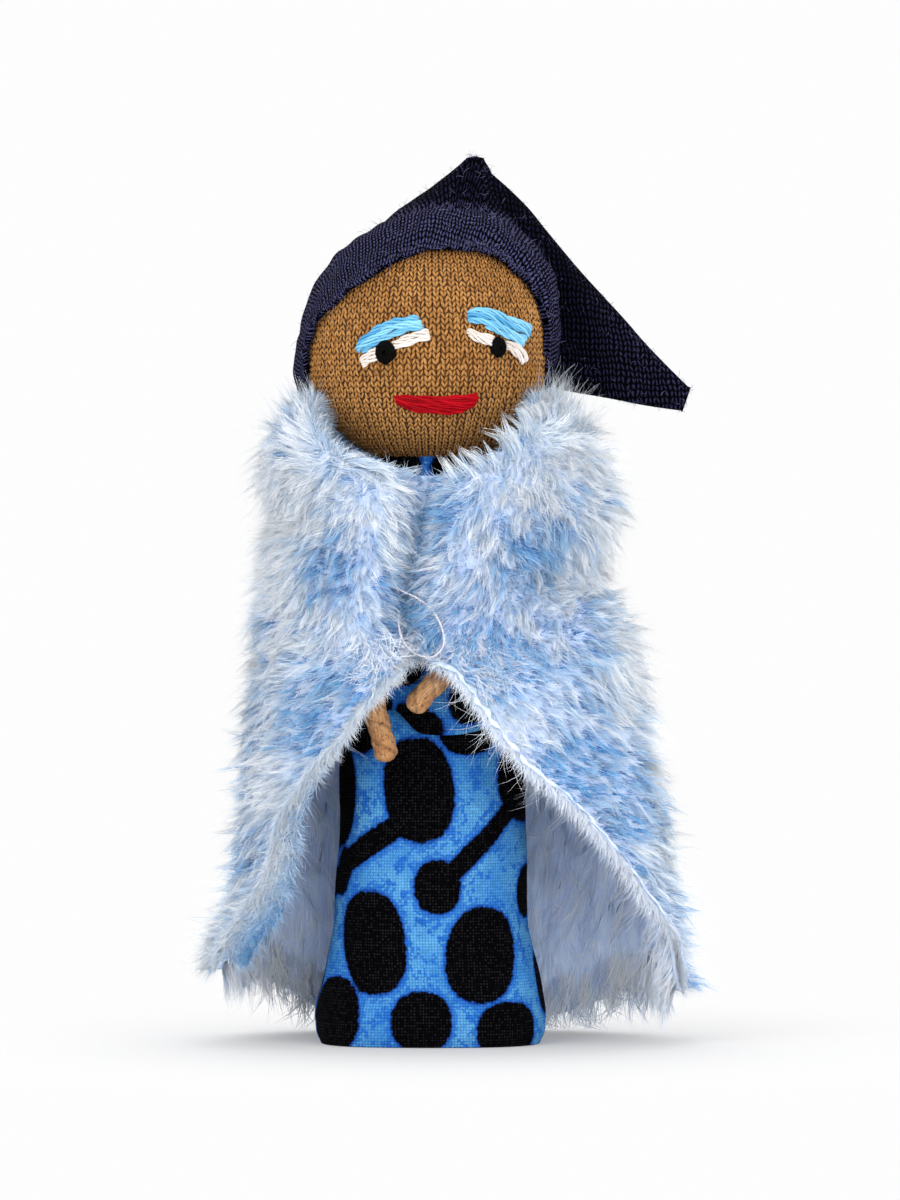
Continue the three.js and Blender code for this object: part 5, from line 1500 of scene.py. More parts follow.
def grow(u, v, hairs, length, seed, spread=0.42, lean=(0.6, 1.05), closing=0.14, steps=3, stray=0.08,
         thick=0.05, lighter=0.0):
    """Paths, radii, shades and facings of the hairs of many tufts. A hair's three handles are its root, a
    point above the root and the tuft's tip."""
    local = np.random.default_rng(seed)
    point, normal, across, down = cape_frame(u, v, ROOT_DEPTH)
    flow = tuft_flow(point, normal, across, down, u, v)
    count = len(u)
    size = (length * pile_length(u, v) * (1 + 0.16 * waves_at(point, 8.0, 81)))[:, None]
    size = size * (1 + local.normal(0, 0.13, (count, 1)))
    tilt = local.uniform(*lean, (count, 1)) + 0.2 * waves_at(point, 5.0, 83)[:, None]
    aim = np.cos(tilt) * normal + np.sin(tilt) * flow + local.normal(0, 0.17, (count, 3))
    tuft_tip = size * unit(aim) - np.array([0, 0, 0.08]) * size
    curl = local.normal(0, 0.14, (count, 1)) * size * np.cross(normal, flow)
    # Painted light: lighter high on the shoulders, where the pile turns to the sides, and in the whiter
    # patches. Painted shade: darker in the seam.
    shade = np.clip(lighter + 0.36 + 0.40 * waves_at(point, 12.0, 84) + 0.34 * waves_at(point, 3.2, 85)
                    + 0.38 * ease(point[:, 2], 68, 80) + 0.40 * ease(np.abs(normal[:, 0]), 0.6, 0.95)
                    + patch_shade(point) - 0.9 * seam(u, v) + local.normal(0, 0.2, count), 0, 1)
    owner = np.repeat(np.arange(count), hairs)
    n = len(owner)
    angle, far = local.uniform(0, TAU, n), spread * np.sqrt(local.uniform(0, 1, n))
    root_shift = (far * np.cos(angle))[:, None] * across[owner] + (far * np.sin(angle))[:, None] * down[owner]
    root = point[owner] + root_shift
    loose = local.uniform(0, 1, n) < stray
    tip_jitter = local.normal(0, 1, (n, 3)) * np.where(loose, 0.9, closing)[:, None]
    share = local.uniform(0.74, 1.06, (n, 1))
    tip = point[owner] + tuft_tip[owner] * share + root_shift * 0.25 + tip_jitter
    handle = root + normal[owner] * size[owner] * 0.40 + (tip - root) * 0.14
    handle = handle + curl[owner] + local.normal(0, 0.10, (n, 3))
    paths = bent(root, handle, tip, steps)
    taper = np.linspace(1.0, 0.0, steps) ** 0.5
    radius = thick * np.where(loose, 0.6, 1.0)[:, None] * local.uniform(0.7, 1.3, (n, 1)) * taper
    hair_shade = np.clip(shade[owner] + local.normal(0, 0.12, n) + 0.3 * loose, 0, 1)
    corner = ease(v, 0.82, 0.95) * ease(np.abs(u), 0.75, 0.95)
    facing = normal * (1 - 0.85 * ease(v, 0.90, 0.97) * (1 - 0.5 * ease(np.abs(u), 0.5, 0.9)))[:, None]
    facing = facing - np.array([0, 0.8, 0]) * corner[:, None]
    facing = facing + np.array([0, -0.1, 0.7]) * ease(v, 0.90, 0.97)[:, None]
    return off_floor(paths), radius, hair_shade, facing[owner]


def add_fur(name, grown, material=None):
    """Makes one piece from grown hairs. Each hair is shaded mostly as the cloth under it faces and a
    little as its own round side does, as the light that soaks through a whole pile would show it."""
    paths, radius, shade, facing = grown
    points, quads, tips, strand, along = strands(paths, radius)
    spine = paths[:, :1] + along.reshape(len(paths), -1, 1) * (paths[:, -1:] - paths[:, :1])
    own = unit(points.reshape(len(paths), -1, 3) - spine)
    shaded = unit(facing[:, None] + 0.35 * own).reshape(-1, 3)
    maps = strand_maps([quads, tips], shade[strand], along)
    return piece(name, points, [quads, tips], material or fur, "doll_body", maps, normals=shaded)


# %% Pile of the cape
u, v = scatter(1.10, 101)
print("tufts", len(u))
for k, name in enumerate(("left_front", "left_side", "back_left", "back_right", "right_side", "right_front")):
    low, high = -1 + k / 3, -1 + (k + 1) / 3
    mine = (u >= low) & ((u < high) | (k == 5))
    add_fur(f"fur_{name}", grow(
        u[mine], v[mine], 7, 3.1, 200 + k, spread=0.55, lean=(0.3, 0.85), closing=0.2, stray=0.12))

# %% [markdown]
# A second, sparser coat of slightly longer locks lies over the first. Their tips are the pale points
# that catch the light. Last come single guard hairs, finer still and crossing one another, which make
# the haze along the outline.

# %% Top coat and guard hairs
u, v = scatter(1.6, 121)
for k, name in enumerate(("left", "back", "right")):
    mine = (u >= -1 + k * 2 / 3) & ((u < -1 + (k + 1) * 2 / 3) | (k == 2))
    add_fur(f"fur_top_coat_{name}", grow(
        u[mine], v[mine], 11, 4.5, 221 + k, spread=0.6, lean=(0.25, 0.95), closing=0.15, stray=0.22,
        thick=0.037, lighter=0.22))
u, v = scatter(2.1, 131)
add_fur("fur_guard_hairs", grow(
    u, v, 3, 5.2, 301, spread=1.0, lean=(0.2, 1.0), closing=0.8, steps=4, stray=0.6, thick=0.025,
    lighter=0.35))

# %% Lining hairs
def make_lining():
    """Pale locks that hang down the inside of the cape, close to it. Three hairs of a lock start
    apart and meet at its tip. More hairs line the front edges and the hem."""
    local = np.random.default_rng(401)
    u, v = scatter(1.65, 402, (-0.99, 0.99), (0.30, 0.99))
    edge, hem = 1500, 1300     # more locks along the front edges and along the hem
    edge_u = (local.integers(0, 2, edge) * 2.0 - 1) * (1 - 0.10 * local.uniform(0, 1, edge) ** 1.6)
    u = np.concatenate([u, edge_u, local.uniform(-1, 1, hem)])
    v = np.concatenate([v, local.uniform(0.42, 1.0, edge), 1 - 0.05 * local.uniform(0, 1, hem)])
    point, normal, across, down = cape_frame(u, v, ROOT_DEPTH + CLOTH_THICK)
    count = len(u)
    at_hem = (0.25 - 0.45 * ease(np.abs(u), 0.86, 0.97)) * ease(v, 0.91, 0.97)
    size = local.uniform(2.4, 5.6, (count, 1)) * (1 + at_hem)[:, None]
    inwards = -np.sign(u) * ease(np.abs(u), 0.85, 0.97) * ease(1 - v, 0.0, 0.05)
    swing = 0.9 * inwards[:, None] + 0.9 * waves_at(point, 3.5, 403)[:, None]
    swing = swing + local.normal(0, 0.35, (count, 1))
    inwards_by = normal * local.uniform(0.4, 2.2, (count, 1)) * (1 + 0.4 * ease(v, 0.5, 0.7))[:, None]
    tip = point + size * unit(down + swing * across) - inwards_by
    # Painted light: lighter towards the hem, where the inside of the cape lies in shade.
    shade = 0.55 + 0.45 * waves_at(point, 4.0, 404) + 0.3 * ease(v, 0.86, 0.97)
    shade = np.clip(shade + local.normal(0, 0.3, count), 0, 1)
    owner = np.repeat(np.arange(count), 3)
    n = len(owner)
    root = point[owner] + local.normal(0, 0.35, (n, 1)) * across[owner]
    root = root + local.normal(0, 0.35, (n, 1)) * down[owner]
    ends = tip[owner] + local.normal(0, 0.16, (n, 3))
    handle = root + size[owner] * 0.5 * down[owner] - normal[owner] * 1.1 + local.normal(0, 0.25, (n, 3))
    paths, radius = bent(root, handle, ends), hair_radius(local, 0.05, n)
    upwards = 1.2 * ease(v, 0.86, 0.97)[:, None] * np.array([0, -0.2, 1.0])
    facing = unit(-normal + np.array([0, -0.8, 0.15]) + upwards)
    return add_fur("cape_lining_hairs", (off_floor(paths), radius, shade[owner], facing[owner]), pale_fur)


lining = make_lining()

# %% [markdown]
# The right front edge is the raw cut of the cloth: a pale, slightly scalloped lip with short hairs that
# hang inwards. The left edge is rolled over, so its pile parts along a line and falls to both sides.


# %% Front edges
def make_selvage():
    """A thin lip along the right front edge: a tube whose radius swells once per scallop."""
    v = np.linspace(0.40, 1.0, 260)
    point, normal, across, _ = cape_frame(np.full(260, 1.0), v, ROOT_DEPTH + CLOTH_THICK / 2)
    wobble = 0.18 * np.sin(v * 170) + 0.12 * np.sin(v * 61)
    path = point + normal * (1.0 + 0.4 * wobble[:, None]) + across * (0.1 + 1.3 * wobble[:, None])
    radius = 0.24 * (1 + 0.45 * np.sin(v * 290) + 0.25 * np.sin(v * 97 + 2 * np.sin(v * 41)))
    radius = radius * (1 - 0.5 * ease(v, 0.62, 0.8))
    radius[0] = radius[-1] = 0.05
    points, quads, ends, _, along = tubes(path[None], radius[None], 9, 1.0, normal)
    shade = np.full(len(points), 0.5)
    return piece("cape_raw_edge", points, [quads, ends], pale_fur, "doll_body",
                 strand_maps([quads, ends], shade, 0.5 + 0 * along))


def edge_hairs(hand, count, seed, size, sideways, outward, v_range):
    """Hairs from a front edge: towards the opening by sideways, off the cloth by outward, and down."""
    local = np.random.default_rng(seed)
    v = local.uniform(*v_range, count)
    u = hand * (1 - np.abs(local.normal(0, 0.006, count)))
    point, normal, across, down = cape_frame(u, v, ROOT_DEPTH + 0.3)
    length = size * local.uniform(0.5, 1.15, (count, 1)) * (0.75 + 0.25 * ease(v, 0.58, 0.74)[:, None])
    aim = unit(hand * sideways * across + outward * normal + 0.55 * down + np.array([0, 0, -0.35])
               + local.normal(0, 0.28, (count, 3)))
    lift = hand * sideways * across + (outward + 0.5) * normal
    paths, radius = short_hairs(local, point, aim, length, lift)
    return off_floor(paths), radius, local.uniform(0.35, 1.0, count), normal


def rolled_lip():
    """Pile on the left front edge, which is rolled over towards the opening: roots on a strip that
    curves in behind the edge, white near the parting and bluer beyond it."""
    local = np.random.default_rng(531)
    whole_edge, lower_edge = 4700, 2000     # hairs
    count = whole_edge + lower_edge
    v = np.append(local.uniform(0.44, 0.995, whole_edge), local.uniform(0.80, 0.995, lower_edge))
    wide = (0.7 + 2.6 * ease(v, 0.60, 0.76) + 2.0 * ease(v, 0.82, 0.95)) * local.uniform(0, 1, count)
    point, normal, across, down = cape_frame(np.full(count, -1.0), v, ROOT_DEPTH + 0.3)
    depth = 0.10 * np.minimum(wide, 3.0) ** 2 + 0.5 * np.maximum(wide - 3, 0)
    root = point - wide[:, None] * across - depth[:, None] * normal
    length = 3.0 * local.uniform(0.5, 1.15, (count, 1)) * (0.75 + 0.25 * ease(v, 0.58, 0.74)[:, None])
    swing = 0.8 * waves_at(root, 3.0, 532)[:, None]
    aim = (swing - 0.55) * across + (0.75 - 0.1 * wide[:, None]) * normal + 0.6 * down
    aim = unit(aim + local.normal(0, 0.4, (count, 3)))
    paths, radius = short_hairs(local, root, aim, length, normal - 0.3 * across)
    shade = np.clip(1.0 - 0.18 * wide + local.normal(0, 0.15, count), 0, 1)
    return off_floor(paths), radius, shade, unit(normal - 0.5 * across)


def collar_hairs():
    """Hairs along the collar's upper edge, which curl over it towards the neck and hide it."""
    local = np.random.default_rng(521)
    all_round, left, right = 3200, 2400, 800     # hairs, with more at the two sides of the opening
    count = all_round + left + right
    u = np.concatenate([
        local.uniform(-1, 1, all_round), local.uniform(-0.97, -0.5, left), local.uniform(0.5, 0.97, right)])
    v = np.abs(local.normal(0, 0.014, count))
    inner = local.uniform(0, 1, count) < 0.55
    point, normal, across, down = cape_frame(u, v + 0.09 * inner * local.uniform(0, 1, count), ROOT_DEPTH)
    point = point - (CLOTH_THICK * inner)[:, None] * normal
    throat = ease(np.abs(u), 0.74, 0.9)[:, None]
    length = (3.4 - 1.3 * throat) * local.uniform(0.6, 1.15, (count, 1))
    aim = unit(-(0.85 - 0.5 * throat) * down
               - (local.uniform(-0.6, 0.9, (count, 1)) + 0.5 * inner[:, None]) * normal
               + (np.sign(u) * 0.5)[:, None] * throat * across + local.normal(0, 0.28, (count, 3)))
    paths, radius = short_hairs(local, point, aim, length, (1 - 1.8 * inner)[:, None] * normal - 0.6 * down)
    return paths, radius, local.uniform(0.3, 1.0, count), unit(normal - 0.5 * down)


def throat_tufts():
    """Long white tufts at the throat: those on the right lean up over the chin, and those on the left
    lie down across the neck."""
    local = np.random.default_rng(551)
    count, hairs = 54, 14
    right = np.arange(count) < 32
    u = np.where(right, local.uniform(0.76, 0.965, count), local.uniform(-0.965, -0.80, count))
    point, normal, _, _ = cape_frame(u, np.abs(local.normal(0, 0.03, count)), ROOT_DEPTH)
    aim = np.where(right[:, None], [-0.55, -0.45, 0.75], [0.75, -0.45, -0.15])
    aim = aim + local.normal(0, 0.2, (count, 3))
    tip = point + local.uniform(3.2, 5.4, (count, 1)) * unit(aim)
    owner = np.repeat(np.arange(count), hairs)
    root = point[owner] + local.normal(0, 0.4, (len(owner), 3))
    ends = root + (tip - point)[owner] * local.uniform(0.75, 1.05, (len(owner), 1))
    ends = ends - 0.7 * (root - point[owner])
    handle = root + 1.6 * normal[owner] + 0.3 * (ends - root) + local.normal(0, 0.2, (len(owner), 3))
    paths, radius = bent(root, handle, ends, 4), hair_radius(local, 0.04, len(owner), 4)
    return paths, radius, local.uniform(0.6, 1.0, count)[owner], normal[owner]


def apex_hairs():
    """Fine white hairs round the top of the opening: tufts on the pile beside it, and long single ones
    that fall from the right edge across the dress."""
    local = np.random.default_rng(561)
    count, on_left, hairs, alone = 76, 36, 12, 130     # tufts, those at the left, hairs in each, single hairs
    tuft_u = np.where(np.arange(count) < on_left, -1.0, 1.0) * local.uniform(0.90, 0.99, count)
    tuft_v = local.uniform(0.41, 0.50, count)
    u = np.concatenate([np.repeat(tuft_u, hairs), np.full(alone, 1.0)])
    v = np.concatenate([np.repeat(tuft_v, hairs), local.uniform(0.47, 0.68, alone)])
    point, normal, _, down = cape_frame(u, v, ROOT_DEPTH)
    single = (np.arange(len(u)) >= count * hairs)[:, None]
    swing = np.repeat(local.normal(0, 0.8, (count, 3)), hairs, axis=0)
    swing = np.concatenate([swing, local.normal(0, 0.7, (alone, 3)) + [-0.9, 0.3, -0.6]])
    aim = 0.85 * normal * (1 - 0.8 * single) + 0.65 * down + swing * (0.5 + 0.5 * single)
    aim = unit(aim + local.normal(0, 0.15, (len(u), 3)))
    root = point + local.normal(0, 0.45, (len(u), 3)) * (1 - single)
    length = np.where(single, local.uniform(2.0, 5.5, (len(u), 1)), local.uniform(2.2, 4.0, (len(u), 1)))
    curl = unit(np.cross(aim, local.normal(0, 1, (len(u), 3))))
    t = np.linspace(0, 1, 5)[None, :, None]
    bend = np.where(single, 0.8, 0.35)[:, None] * t ** 2 * curl[:, None]
    paths = root[:, None] + length[:, None] * (t * aim[:, None] + bend)
    radius = np.where(single, 0.017, 0.034) * np.array([1, 1, 0.9, 0.7, 0.0])
    return paths, radius, local.uniform(0.6, 1.0, len(u)), unit(normal + [0, -0.5, 0])


def wisp_hairs():
    """Long single hairs that stray from the collar, curl and cross the hood's tail and the head."""
    local = np.random.default_rng(541)
    count = 340
    on_right = local.uniform(0, 1, count) < 0.6
    u = np.where(on_right, local.uniform(0.38, 0.72, count), local.uniform(-0.75, -0.4, count))
    point, normal, _, down = cape_frame(u, local.uniform(0.0, 0.12, count), ROOT_DEPTH)
    aim = unit(normal - 0.75 * down + local.normal(0, 0.45, (count, 3)))
    curl = unit(np.cross(aim, local.normal(0, 1, (count, 3))))
    t = np.linspace(0, 1, 8)[None, :, None]
    length = local.uniform(3.5, 7.5, (count, 1, 1))
    bend = t * aim[:, None] + 0.35 * t ** 2 * curl[:, None] + 0.05 * np.sin(9 * t) * normal[:, None]
    paths = point[:, None] + length * bend
    radius = 0.022 * np.ones((count, 1)) * np.linspace(1, 0.4, 8)
    return paths, radius, local.uniform(0.6, 1.0, count), normal


wisps = add_fur("cape_wisps", wisp_hairs())
raw_edge = make_selvage()
collar = add_fur("cape_collar_hairs", collar_hairs())
throat = add_fur("cape_throat_tufts", throat_tufts())
apex = add_fur("cape_opening_hairs", apex_hairs(), pale_fur)
right_fringe = add_fur(
    "cape_right_edge_hairs", edge_hairs(1, 4300, 501, 3.1, 0.75, 0.25, (0.36, 1.0)), pale_fur)
left_fringe = add_fur("cape_left_edge_hairs", edge_hairs(-1, 4200, 502, 3.4, 0.7, 0.7, (0.38, 1.0)))
left_lip = add_fur("cape_left_rolled_hairs", rolled_lip())

# %% [markdown]
# ## Tie
# A pale thread holds the two front edges together: it comes out of the pile, crosses the valley in a
# loop and goes back in. Sewing thread is two plies twisted together.

# %% Tie thread
TIE = [
    [-5.4, 59.4], [-4.0, 58.7], [-2.1, 57.8], [-0.3, 56.4], [1.0, 54.2], [1.3, 52.0], [0.0, 50.4],
    [-2.4, 50.8], [-4.0, 52.6], [-4.5, 55.2], [-4.0, 57.4]]


def over_fur(x, z, lift):
    """A point over the front of the cape at a place across and up."""
    x, z = np.asarray(x, float), np.asarray(z, float)
    reach = np.where(x < 0, cape_left(z), cape_right(z))
    angle = np.where(x < 0, -1, 1) * (math.pi - np.arcsin(np.abs(x / reach) ** (1 / CAPE_POWER)))
    return cape_point(z, angle, 0.0) - np.array([0, 1.0, 0]) * lift


def make_tie():
    """Two plies that wind round the thread's middle line, half a turn apart."""
    flat = smooth_path(TIE, 220)
    t = np.linspace(0, 1, 220)
    out = 1.3 - 2.6 * (1 - ease(t, 0.0, 0.08)) - 2.6 * ease(t, 0.9, 1.0) + 0.8 * np.sin(t * 17)
    middle = over_fur(flat[:, 0], flat[:, 1], out[:, None])
    going = unit(np.gradient(middle, axis=0))
    side = unit(np.cross(going, [0, -1.0, 0]))
    over = np.cross(side, going)
    run = run_along(middle)
    turn = TAU * run / 1.1
    paths = np.array([middle + 0.06 * (np.cos(turn + k)[:, None] * side + np.sin(turn + k)[:, None] * over)
                      for k in (0, math.pi)])
    points, quads, ends, tube, along = tubes(paths, 0.06, 7, 1.0, (0, -1.0, 0.1))
    made = piece("tie_thread", points, [quads, ends], white_thread, "doll_body",
                 strand_maps([quads, ends], np.array([0.4, 0.9])[tube], along))
    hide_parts("cape_tie")
    return made


tie_thread = make_tie()

# %% [markdown]
# ## Arms
# Each arm is wire wrapped in a strip of brown paper that is twisted on wet. Dry, it shows a slow spiral
# of overlapping ridges with fine wrinkles between them, and a rounded end where it is pressed over.

# %% Arms
ARM_R, SHOULDER_R, FINGER_R = 1.45, 1.6, 1.5
ARMS = {
    "left": [
        [-13.57, 2.4, 66.0], [-14.9, -1.4, 61.4], [-14.7, -6.0, 55.8], [-11.8, -11.0, 50.6],
        [-8.6, -13.1, 47.0], [-7.3, -13.6, 42.4], [-5.8, -13.6, 36.8]],
    "right": [
        [12.29, 2.4, 66.0], [14.5, -1.4, 61.4], [14.5, -6.6, 56.2], [11.8, -11.8, 52.6],
        [7.0, -14.2, 50.6], [2.2, -15.0, 48.6], [-2.9, -15.4, 43.3]]}


def make_brown_paper():
    material, tree, shader = new_finish("twisted brown paper", 0.78, 0.05, 0.3)
    place = on_cloth(tree)
    fleck = use_group(tree, fleck_group, Place=millimetres(tree), Fine=2.6, Broad=0.5)
    ridge = point_value(tree, "ridge")
    streak = vectors(tree, "MULTIPLY", place, (6.0, 0.8, 1.0))
    lines = noise(tree, streak, 1.0, 4.0, 0.7)
    colour = blend(tree, band(tree, fleck["Broad cloud"], 0.3, 0.7), rgb(204, 144, 88), rgb(228, 174, 118))
    # Painted shade: darker in the grooves between the spiral ridges.
    colour = speckle(tree, colour, ridge, -0.45, -0.95, 0.45, rgb(116, 72, 40))
    colour = speckle(tree, colour, lines, 0.50, 0.60, 0.75, rgb(146, 94, 54))
    colour = speckle(tree, colour, fleck["Fine fleck"], 0.57, 0.62, 0.8, rgb(96, 58, 34))
    tree.links.new(colour, shader.inputs["Base Color"])
    height = sums(tree, "ADD", lines, sums(tree, "MULTIPLY", fleck["Fine fleck"], 0.5))
    bumped(tree, shader, height, 0.0005, 1.0)
    return material


brown_paper = make_brown_paper()


def make_arm(side, seed):
    """A tube along the arm with the CAD's radii. A spiral ridge is added to the radius: a sine of two
    turns of the angle and the way along, sharpened, with finer waves across it."""
    rows, sides = 240, 44
    middle = smooth_path(ARMS[side], rows)
    run = run_along(middle)
    t, length = run / run[-1], run[-1]
    radius = SHOULDER_R + (ARM_R - SHOULDER_R) * ease(t, 0, 0.2) + (FINGER_R - ARM_R) * ease(t, 0.75, 0.92)
    ends = np.minimum(np.minimum((1 - t) * length / 1.35, 1), np.minimum(t * length / 0.8 + 0.5, 1))
    radius = radius * np.sqrt(np.clip(1 - (1 - ends) ** 2, 0, 1))
    going = unit(np.gradient(middle, axis=0))
    out = unit(np.cross(np.array([1.0, 0.2, 0]), going))
    over = np.cross(going, out)
    turn = TAU * np.arange(sides) / sides
    phase = 2 * turn[None] + 2.1 * run[:, None] + 0.6 * np.sin(0.9 * run[:, None] + seed)
    ridge = np.sin(phase) * 0.6 + 0.4 * np.sin(2 * phase + 1.0)
    swell = 1 + 0.03 * np.sin(0.8 * run[:, None] + seed)
    wide = radius[:, None] * swell * (1 + 0.055 * ridge)
    spoke = np.cos(turn)[:, None] * out[:, None] + np.sin(turn)[:, None] * over[:, None]
    grid = middle[:, None] + wide[..., None] * spoke
    grid = grid + 0.05 * waves_at(grid, 1.3, seed)[..., None] * unit(grid - middle[:, None])
    faces, row, column = grid_faces(rows, sides, joined=True)
    points = np.concatenate([grid.reshape(-1, 3), middle[[0, -1]]])
    caps = np.concatenate([
        fan(0, sides, len(points) - 2)[:, ::-1], fan((rows - 1) * sides, sides, len(points) - 1)])
    cloth = np.stack([column * (TAU * ARM_R / sides), run[row]], -1)
    maps = np.concatenate([cloth.reshape(-1, 2), np.zeros((3 * len(caps), 2))])
    made = piece(f"{side}_arm_wrap", points, [faces, caps], brown_paper, f"{side}_arm",
                 {"cloth": maps}, {"ridge": np.concatenate([ridge.ravel(), [0, 0]])})
    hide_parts(f"{side}_arm_paper")


make_arm("left", 3)
make_arm("right", 7)

# %% [markdown]
# ## Lint
# Brushed jersey and yarn carry loose fibres that are only seen against the light. Fine curls along the
# hood's edge and skin, on the tie and on the cape's raw edge, and shorter ones on the head, soften the
# outlines.


# %% Lint on hood and head
def curls(roots, normals, size, seed, wild=0.8, thick=0.022):
    """Short curled fibres: a root, a handle off the surface and a tip that turns back towards it."""
    local = np.random.default_rng(seed)
    count = len(roots)
    length = size * local.uniform(0.4, 1.5, (count, 1))
    aim = unit(0.7 * normals + wild * local.normal(0, 1, (count, 3)))
    turn = unit(np.cross(aim, local.normal(0, 1, (count, 3))))
    t = np.linspace(0, 1, 5)[None, :, None]
    bend = t * aim[:, None] + 0.55 * t ** 2 * turn[:, None] - 0.35 * t ** 2 * normals[:, None]
    paths = roots[:, None] + length[:, None] * bend
    radius = thick * np.array([1, 1, 0.9, 0.7, 0.0]) * np.ones((count, 1))
    return paths, radius


def surface_roots(made, count, seed, keep=None):
    """Random points of a mesh, and their normals, picked among its vertices."""
    local = np.random.default_rng(seed)
    mesh = made.data
    co = np.empty(len(mesh.vertices) * 3, np.float32)
    no = np.empty(len(mesh.vertices) * 3, np.float32)
    mesh.vertices.foreach_get("co", co)
    mesh.vertex_normals.foreach_get("vector", no)
    co, no = co.reshape(-1, 3) / MM, no.reshape(-1, 3)
    chosen = np.arange(len(co)) if keep is None else np.flatnonzero(keep(co))
    pick = local.choice(chosen, count, replace=len(chosen) < count)
    return co[pick], no[pick]


def add_lint(name, sources, body, material, seed):
    grown = [curls(roots, normals, size, seed + k) for k, (roots, normals, size) in enumerate(sources)]
    paths, radius = np.concatenate([g[0] for g in grown]), np.concatenate([g[1] for g in grown])
    points, quads, tips, strand, along = strands(paths, radius)
    shade = np.random.default_rng(seed).uniform(0, 1, len(paths)) ** 1.5
    maps = strand_maps([quads, tips], shade[strand], along)
    return piece(name, points, [quads, tips], material, body, maps)


def near_opening(co):
    around, away = polar_of(co - HEAD)
    return np.abs(away - np.interp(around, edge_around, edge_away)) * 17 < 0.9


add_lint("hood_lint", [
    (*surface_roots(hood_cap, 750, 601), 1.0), (*surface_roots(hood_cap, 380, 602, near_opening), 1.1),
    (*surface_roots(hood_tail, 550, 603), 0.8)], "head", lint, 610)
add_lint("tie_lint", [
    (*surface_roots(tie_thread, 260, 604), 0.9)], "doll_body", white_thread, 630)
add_lint("edge_lint", [
    (*surface_roots(raw_edge, 900, 605), 1.3)], "doll_body", pale_fur, 640)
add_lint("head_lint", [
    (*on_head(np.random.default_rng(5).uniform(-1.7, 1.7, 900),
              np.random.default_rng(6).uniform(-1.1, 0.9, 900), 0.1), 0.55)],
    "head", tan_yarn, 620)

# %% [markdown]
# ## Hidden pieces
# The card, filling, stick and wires inside the doll keep the CAD's own meshes. They can't be seen in the
# render, but each gets the finish it would have if the doll were opened.


# %% Finishes of the hidden pieces
def plain_finish(name, dark, light, scale, stretch, roughness, metal=0.0, grain=0.0002):
    """Two colours mixed by noise that can be stretched along an axis, with the same noise as grain."""
    material, tree, shader = new_finish(name, roughness, 0.0, 0.4)
    place = vectors(tree, "MULTIPLY", millimetres(tree), stretch)
    fleck = use_group(tree, fleck_group, Place=place, Fine=scale, Broad=scale * 0.2)
    fine = sums(tree, "MULTIPLY", fleck["Fine fleck"], 0.6)
    mixed = sums(tree, "ADD", fine, sums(tree, "MULTIPLY", fleck["Broad cloud"], 0.4))
    colour = blend(tree, band(tree, mixed, 0.35, 0.65), rgb(*dark), rgb(*light))
    tree.links.new(colour, shader.inputs["Base Color"])
    shader.inputs["Metallic"].default_value = metal
    bumped(tree, shader, mixed, grain)
    return material


card = plain_finish("grey card", (132, 116, 92), (164, 146, 118), 3.0, (1, 1, 1), 0.9)
filling = plain_finish("fibre filling", (214, 210, 202), (242, 240, 234), 1.5, (1, 1, 0.4), 1.0, grain=0.001)
birch = plain_finish("birch stick", (186, 148, 100), (214, 180, 132), 2.0, (1, 1, 0.06), 0.6)
craft_wire = plain_finish(
    "craft wire", (120, 120, 122), (168, 168, 170), 4.0, (1, 1, 0.3), 0.35, metal=1.0, grain=0.00003)
neck_cotton = plain_finish("neck thread", (112, 76, 42), (148, 104, 62), 6.0, (1, 1, 1), 0.8)
HIDDEN = {
    "base_card": card, "body_stuffing": filling, "head_stuffing": filling, "neck_stick": birch,
    "shoulder_wire": craft_wire, "left_arm_wire": craft_wire, "right_arm_wire": craft_wire,
    "neck_thread": neck_cotton}
for node, finish in HIDDEN.items():
    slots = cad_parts[node].data.materials
    if len(slots):
        for k in range(len(slots)):
            slots[k] = finish
    else:
        slots.append(finish)
print("hidden nodes with a finish", 8)

# %% [markdown]
# ## Floor, world and lamps
# The photograph's ground is white with a soft grey shadow at the doll's foot. The floor is a pale
# diffuse plane. Seen straight by the camera or in a reflection it also glows a little, more so away
# from the doll, so that it runs into the white behind without an edge. The lamps don't get stronger
# for that. They are large and close, as softboxes are.


# %% Floor and world
SKY, SEEN_WHITE = 1.78, 0.985     # light from all round, and how bright the white ground looks


def seen_straight(tree):
    """1 on rays from the camera, a reflection or through glass, and 0 on all others."""
    path = add_node(tree, "ShaderNodeLightPath")
    return sums(tree, "ADD", path.outputs["Is Camera Ray"], sums(
        tree, "ADD", path.outputs["Is Glossy Ray"], path.outputs["Is Transmission Ray"]), clamp=True)


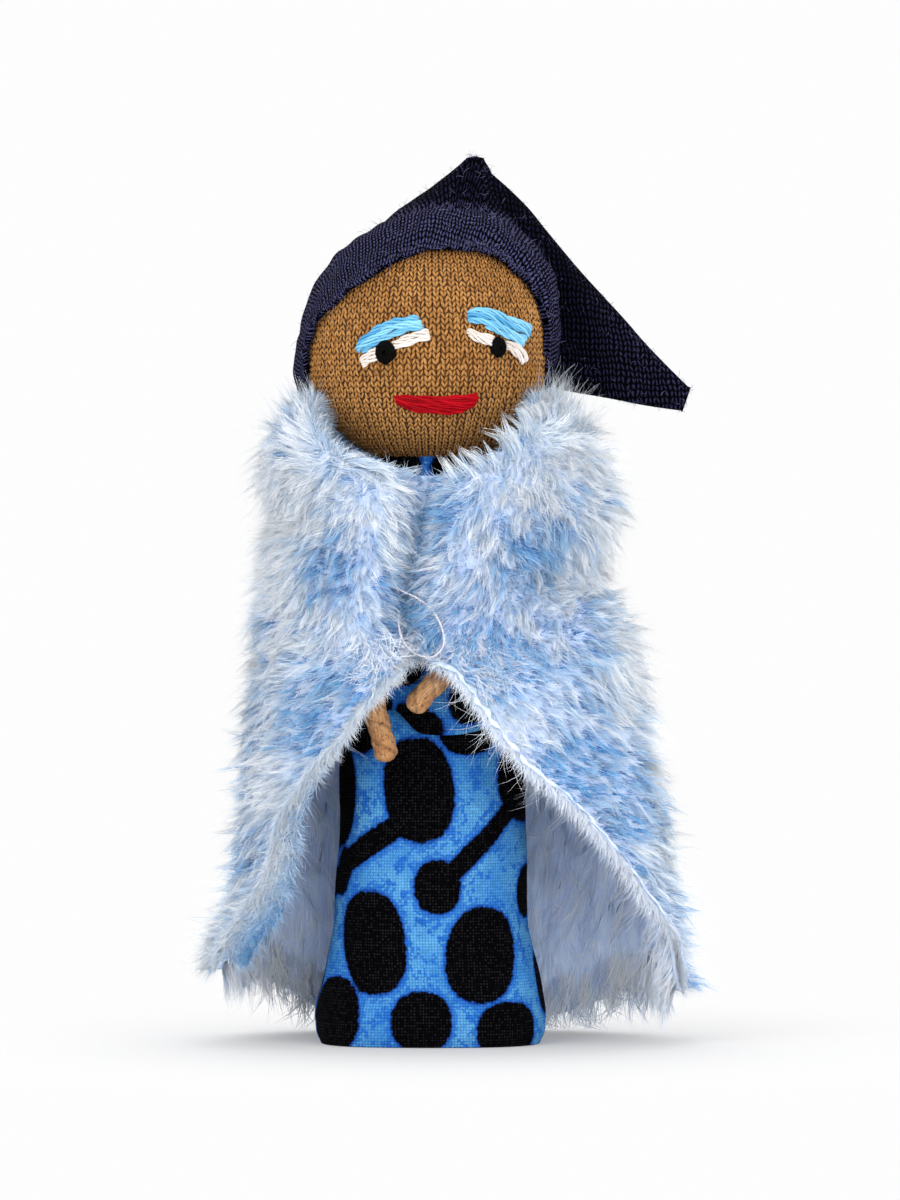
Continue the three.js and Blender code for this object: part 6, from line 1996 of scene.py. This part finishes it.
def make_floor():
    size = 3000.0
    material, tree, shader = new_finish("studio floor", 0.9, 0.0, 0.1)
    spot = millimetres(tree)
    far = add_node(tree, "ShaderNodeVectorMath", {0: spot}, operation="LENGTH").outputs["Value"]
    seen = seen_straight(tree)
    colour = blend(tree, seen, (0.86, 0.86, 0.865, 1), (0.44, 0.44, 0.443, 1))
    tree.links.new(colour, shader.inputs["Base Color"])
    glow = add_node(tree, "ShaderNodeEmission", {"Color": (1, 1, 1, 1), "Strength": SEEN_WHITE})
    lift = sums(tree, "ADD", sums(tree, "MULTIPLY", band(tree, far, 20.0, 95.0), 0.80), 0.20)
    mix = add_node(tree, "ShaderNodeMixShader", {0: sums(tree, "MULTIPLY", lift, seen)})
    tree.links.new(shader.outputs[0], mix.inputs[1])
    tree.links.new(glow.outputs[0], mix.inputs[2])
    show(tree, mix.outputs[0])
    mesh = bpy.data.meshes.new("floor")
    s, low = size * MM / 2, -0.00005
    mesh.from_pydata([(-s, -s, low), (s, -s, low), (s, s, low), (-s, s, low)], [], [(0, 1, 2, 3)])
    mesh.materials.append(material)
    floor = bpy.data.objects.new("floor", mesh)
    bpy.context.scene.collection.objects.link(floor)


def make_world():
    world = bpy.data.worlds.new("studio")
    bpy.context.scene.world = world
    world.use_nodes = True
    tree = world.node_tree
    tree.nodes.clear()
    seen = seen_straight(tree)
    light = sums(tree, "ADD", sums(tree, "MULTIPLY", seen, SEEN_WHITE - SKY), SKY)
    shade = add_node(tree, "ShaderNodeBackground", {"Color": (1, 1, 1, 1), "Strength": light})
    add_node(tree, "ShaderNodeOutputWorld", {"Surface": shade.outputs[0]})


make_floor()
make_world()


# %% Lamps
def softbox(name, place, target, size, watts):
    """A square area lamp, size metres wide, that looks at target. Places are in metres."""
    light = bpy.data.lights.new(name, "AREA")
    light.shape, light.size, light.energy = "SQUARE", size, watts
    lamp = bpy.data.objects.new(name, light)
    bpy.context.scene.collection.objects.link(lamp)
    lamp.location = place
    way = unit(np.array(target) - np.array(place))
    tilt = math.acos(-way[2])
    lamp.rotation_euler = (tilt, 0.0, math.atan2(-way[0], way[1]))

softbox("key", (-0.42, -0.60, 0.50), (0, 0, 0.06), 0.50, 3.9)
softbox("fill", (0.30, -0.68, 0.12), (0, 0, 0.07), 0.50, 3.9)
softbox("top", (0.05, 0.20, 0.75), (0, 0, 0.06), 0.50, 1.8)
bpy.context.scene.view_settings.view_transform = "Standard"
